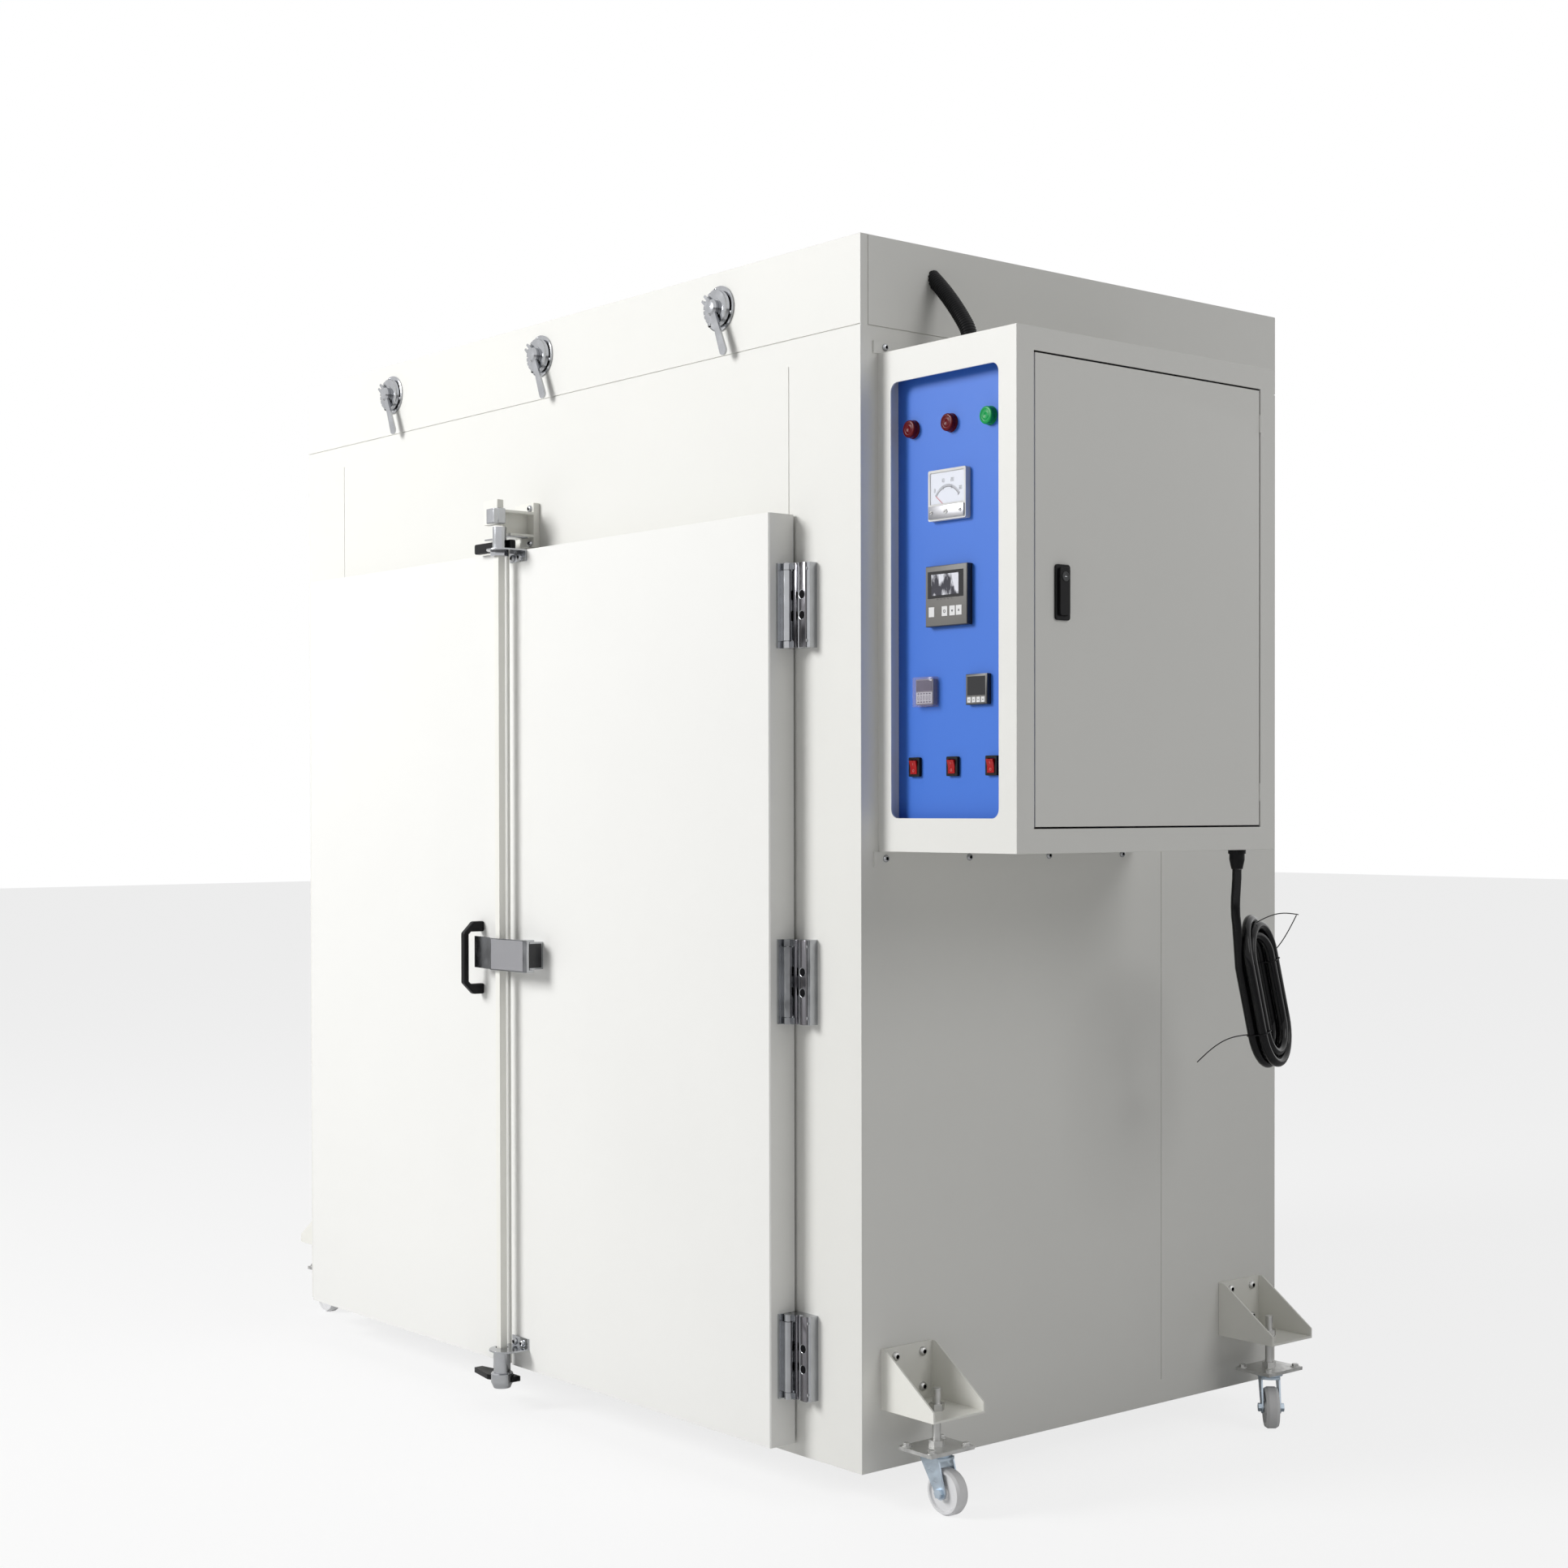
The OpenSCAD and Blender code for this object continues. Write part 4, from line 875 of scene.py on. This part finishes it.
# %% Temperature controller
shape = bmesh.new()
slab(shape, (98, 50.6, 1363), (194, 62, 1459), 0, 1.5)
slab(shape, (99.2, 50, 1364.2), (192.8, 51, 1457.8), 1, 0.5)
slab(shape, (104, 49.8, 1407.5), (186, 50.5, 1450), 2, 0.2, 1)
slab(shape, (113, 49.5, 1412), (175, 49.9, 1445), 3)
marks = face_at(146, 49.4, 1386)
for x in (-33, -3, 14.5, 29.5):
    slab(shape, (146 + x - 6.4, 49.5, 1378.5), (146 + x + 6.4, 50.4, 1394), 4, 0.25, 1)
turned(shape, [(2.4, 0), (2.4, 0.2), (0, 0.2)], marks @ Matrix.Translation((0.0295, 0, 0))
       @ Matrix.Rotation(radians(90), 4, "Z"), 3, 5)
turned(shape, [(2.4, 0), (2.4, 0.2), (0, 0.2)], marks @ Matrix.Translation((0.0145, 0, 0))
       @ Matrix.Rotation(radians(-90), 4, "Z"), 3, 5)
turned(shape, [(1.8, 0), (1.8, 0.2), (2.6, 0.2), (2.6, 0)],
       marks @ Matrix.Translation((-0.003, 0, 0)), 20, 5)
for x in (-20, -12, -4, 4, 12):
    bar(shape, marks, (x, 19.6), (x + 2.4, 19.6), 0.7, 5, 0.2)
controller = piece("controller_front", shape,
                   [case_black, face_grey, screen_black, film_painted_highlight, key_white, print_ink_and_slot_shade],
                   clean=False)
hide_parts("temperature_controller")
print("controller:", len(controller.data.polygons), "faces")

# %% [markdown]
# The timer sits under a smoked clear cover. Behind it are a dark display and five
# thumbwheels that set the time, each showing one plain digit.

# %% Timer
shape = bmesh.new()
slab(shape, (69, 48, 1237), (117, 62, 1285), 0, 2.0, 3)
timer_cover = piece("timer_cover_box", shape, smoked_cover)
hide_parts("timer")
shape = bmesh.new()
slab(shape, (72.5, 52.5, 1240.5), (113.5, 61.9, 1281.5), 0, 1.0)
slab(shape, (74.5, 52, 1262.5), (111.5, 52.8, 1279.5), 1, 0.3, 1)
slab(shape, (74.5, 52, 1242.5), (111.5, 52.8, 1260.5), 2, 0.3, 1)
for n in range(5):
    x = 93 + (n - 2) * 6.6
    slab(shape, (x - 2.4, 51.7, 1247.4), (x + 2.4, 52.4, 1255.8), 4, 0.2, 1)
    digits(shape, face_at(x, 51.6, 1251.6), "0", (0, 0), 6.4, 2.6, 3)
    for z in (1245.0, 1258.2):
        slab(shape, (x - 1.9, 51.6, z - 0.9), (x + 1.9, 52.3, z + 0.9), 3)
timer_body = piece("timer_body", shape,
                   [face_grey, screen_black, case_grey, print_ink_and_slot_shade, key_white], clean=False)
print("timer:", len(timer_body.data.polygons), "faces")

# %% [markdown]
# The limit controller beside it has the same case size, 48 mm square: a dark
# screen over four white keys, with one stroke printed on each.

# %% Limit controller
shape = bmesh.new()
slab(shape, (187, 53.4, 1237), (235, 62, 1285), 0, 1.0)
slab(shape, (188.5, 53, 1238.5), (233.5, 54, 1283.5), 1, 0.4)
slab(shape, (191, 52.6, 1251.5), (231, 53.4, 1281), 2, 0.2, 1)
for n in range(4):
    x = 195.5 + n * 10.3
    slab(shape, (x - 4, 52.3, 1240.5), (x + 4, 53.4, 1249), 3, 0.2, 1)
    bar(shape, face_at(x, 52.25, 1244.7), (-1.4, 0), (1.4, 0), 1.0, 4, 0.15)
limit = piece("limit_front", shape, [case_black, face_grey, screen_black, key_white, print_ink_and_slot_shade],
              clean=False)
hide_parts("limit_controller")
print("limit controller:", len(limit.data.polygons), "faces")

# %% [markdown]
# Each rocker is marked with the usual bar for on and ring for off. The marks ride
# on the rocker, so they tilt with it, and they lie along its two sloping halves.

# %% Marks on the rockers
ROCKER_X, ROCKER_Z = (64, 152, 240), 1142
REST_TILT, HALF_SLOPE = 8, 7.9
for n, x in enumerate(ROCKER_X):
    shape = bmesh.new()
    pivot = Matrix.Translation(at(x, PANEL_Y - 3.2, ROCKER_Z))
    tilt = pivot @ Matrix.Rotation(radians(REST_TILT), 4, "X")
    for up in (1, -1):
        half = tilt @ Matrix.Translation((0, -0.00435, up * 0.0054)) @ Matrix.Rotation(
            radians(90 + up * HALF_SLOPE), 4, "X")
        if up > 0:
            bar(shape, half, (0, -1.8), (0, 1.8), 0.7)
        else:
            turned(shape, [(1.5, 0), (1.5, 0.15), (2.1, 0.15), (2.1, 0)], half, 24)
    piece(f"rocker_mark_{n + 1}", shape, rocker_ink, f"rocker_{n + 1}")
print("marks on three rockers")

# %% [markdown]
# A few last parts: the round cylinder of the cabinet lock with its key slot, the screws and
# the stop hole on each damper flange, a black disc of painted shade, a black sheet of painted shade
# in the recess at the latch's end, the satin face of the latch, and the plated socket of the
# keeper, which takes the rod's end.

# %% Lock cylinder, damper screws, latch and keeper socket
shape = bmesh.new()
place = facing(at(325, 134, 1432), RIGHT)
turned(shape, [(7.5, -0.3), (7.5, 0.7), (7, 1.1), (5.6, 1.1), (5.2, 0.6), (0, 0.6)], place, 32)
bar(shape, place, (-2.4, 0), (2.4, 0), 1.0, 1, 0.9)
piece("lock_cylinder", shape, [case_black, chrome], "cabinet_door")

DAMPER_X, DAMPER_Z = (-366, -920, -1474), 1936
small, dark = [], []
for x in DAMPER_X:
    small += [(x + 35 * cos(radians(a)), -3.8, DAMPER_Z + 35 * sin(radians(a)))
              for a in (102, 222, -18)]
    dark.append((x - 25, -4, DAMPER_Z - 24.5))
screws("damper_screws", small, FRONT, 3.0, 1.8)
# Each stop hole is a black disc of painted shade.
shape = bmesh.new()
for point in dark:
    turned(shape, [(4.2, 0), (4.2, 0.5), (3.4, 0.6), (0, 0.6)], facing(at(*point), FRONT), 20)
piece("damper_stop_holes", shape, hole_painted_shade)
# A thin black sheet in the recess at the latch's end is painted shade.
shape = bmesh.new()
slab(shape, (-834.5, -88, 780.5), (-833.4, -61, 825.5), 0, 0.3, 1)
piece("latch_end_painted_shade", shape, case_black, "right_door")
shape = bmesh.new()
slab(shape, (-939, -104.5, 775), (-831, -103.8, 831), 0, 0.3, 1)
piece("latch_front_plate", shape, satin_chrome, "latch_lever")
ROD_IN, ROD_BACK = 13, 21
low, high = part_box("keeper_block")
rod_x = high.x * 1000 - BODY_RIGHT - ROD_IN
rod_y = low.y * 1000 - BODY_FRONT + ROD_BACK
shape = bmesh.new()
slab(shape, (rod_x - 13.6, rod_y - 12, 1612.2), (rod_x + 13.6, rod_y + 5.8, 1641.5), 0, 2.0, 3)
piece("keeper_socket", shape, chrome)
print("keeper socket over the rod at", round(rod_x, 1), round(rod_y, 1))
print("damper screws:", len(small), "stop holes:", len(dark))

# %% [markdown]
# The studio is plain: a pale floor, a white surround that only the camera and the
# reflections see, one broad soft lamp from the front left and a weak one from the
# right that models the side wall.

# %% Floor
shape = bmesh.new()
bmesh.ops.create_grid(shape, x_segments=1, y_segments=1, size=30)
floor_paint, tree, shader = finish("studio_floor", (0.86, 0.86, 0.86), roughness=0.9,
                                   Specular_IOR_Level=0.2)
white = node(tree, "Emission", Color=(1, 1, 1, 1), Strength=1.0)
seen = tree.nodes.new("ShaderNodeLightPath")
share = tree.nodes.new("ShaderNodeMath")
share.operation = "MULTIPLY"
share.inputs[1].default_value = 0.8
mixed = tree.nodes.new("ShaderNodeMixShader")
tree.links.new(seen.outputs["Is Camera Ray"], share.inputs[0])
tree.links.new(share.outputs["Value"], mixed.inputs["Fac"])
tree.links.new(shader.outputs["BSDF"], mixed.inputs[1])
tree.links.new(white.outputs["Emission"], mixed.inputs[2])
tree.links.new(mixed.outputs["Shader"], tree.nodes["Material Output"].inputs["Surface"])
mesh = bpy.data.meshes.new("studio_floor")
shape.to_mesh(mesh)
shape.free()
mesh.materials.append(floor_paint)
studio_floor = bpy.data.objects.new("studio_floor", mesh)
bpy.context.scene.collection.objects.link(studio_floor)
print("floor", studio_floor.name)

# %% Surround and lamps
AMBIENT = 0.2
world = bpy.data.worlds.new("studio")
bpy.context.scene.world = world
world.use_nodes = True
tree = world.node_tree
background = tree.nodes["Background"]
background.inputs["Color"].default_value = (1, 1, 1, 1)
seen = tree.nodes.new("ShaderNodeLightPath")
total = seen.outputs["Is Camera Ray"]
for ray in ("Is Glossy Ray", "Is Transmission Ray"):
    highest = tree.nodes.new("ShaderNodeMath")
    highest.operation = "MAXIMUM"
    tree.links.new(total, highest.inputs[0])
    tree.links.new(seen.outputs[ray], highest.inputs[1])
    total = highest.outputs["Value"]
level = tree.nodes.new("ShaderNodeMapRange")
level.inputs["To Min"].default_value, level.inputs["To Max"].default_value = AMBIENT, 1.0
tree.links.new(total, level.inputs["Value"])
tree.links.new(level.outputs["Result"], background.inputs["Strength"])


def lamp(name, place, aim, size, power):
    data = bpy.data.lights.new(name, "AREA")
    data.shape = "DISK"
    data.size = size
    data.energy = power
    made = bpy.data.objects.new(name, data)
    bpy.context.scene.collection.objects.link(made)
    made.location = place
    made.rotation_euler = (Vector(aim) - Vector(place)).to_track_quat("-Z", "Y").to_euler()
    return made


key = lamp("key_lamp", (-2.6, -6.2, 4.2), (0, 0, 1.0), 3.2, 430)
side = lamp("side_lamp", (5.6, 1.6, 4.0), (0.8, 0.2, 0.9), 3.2, 62)
print("lamps:", key.name, side.name)
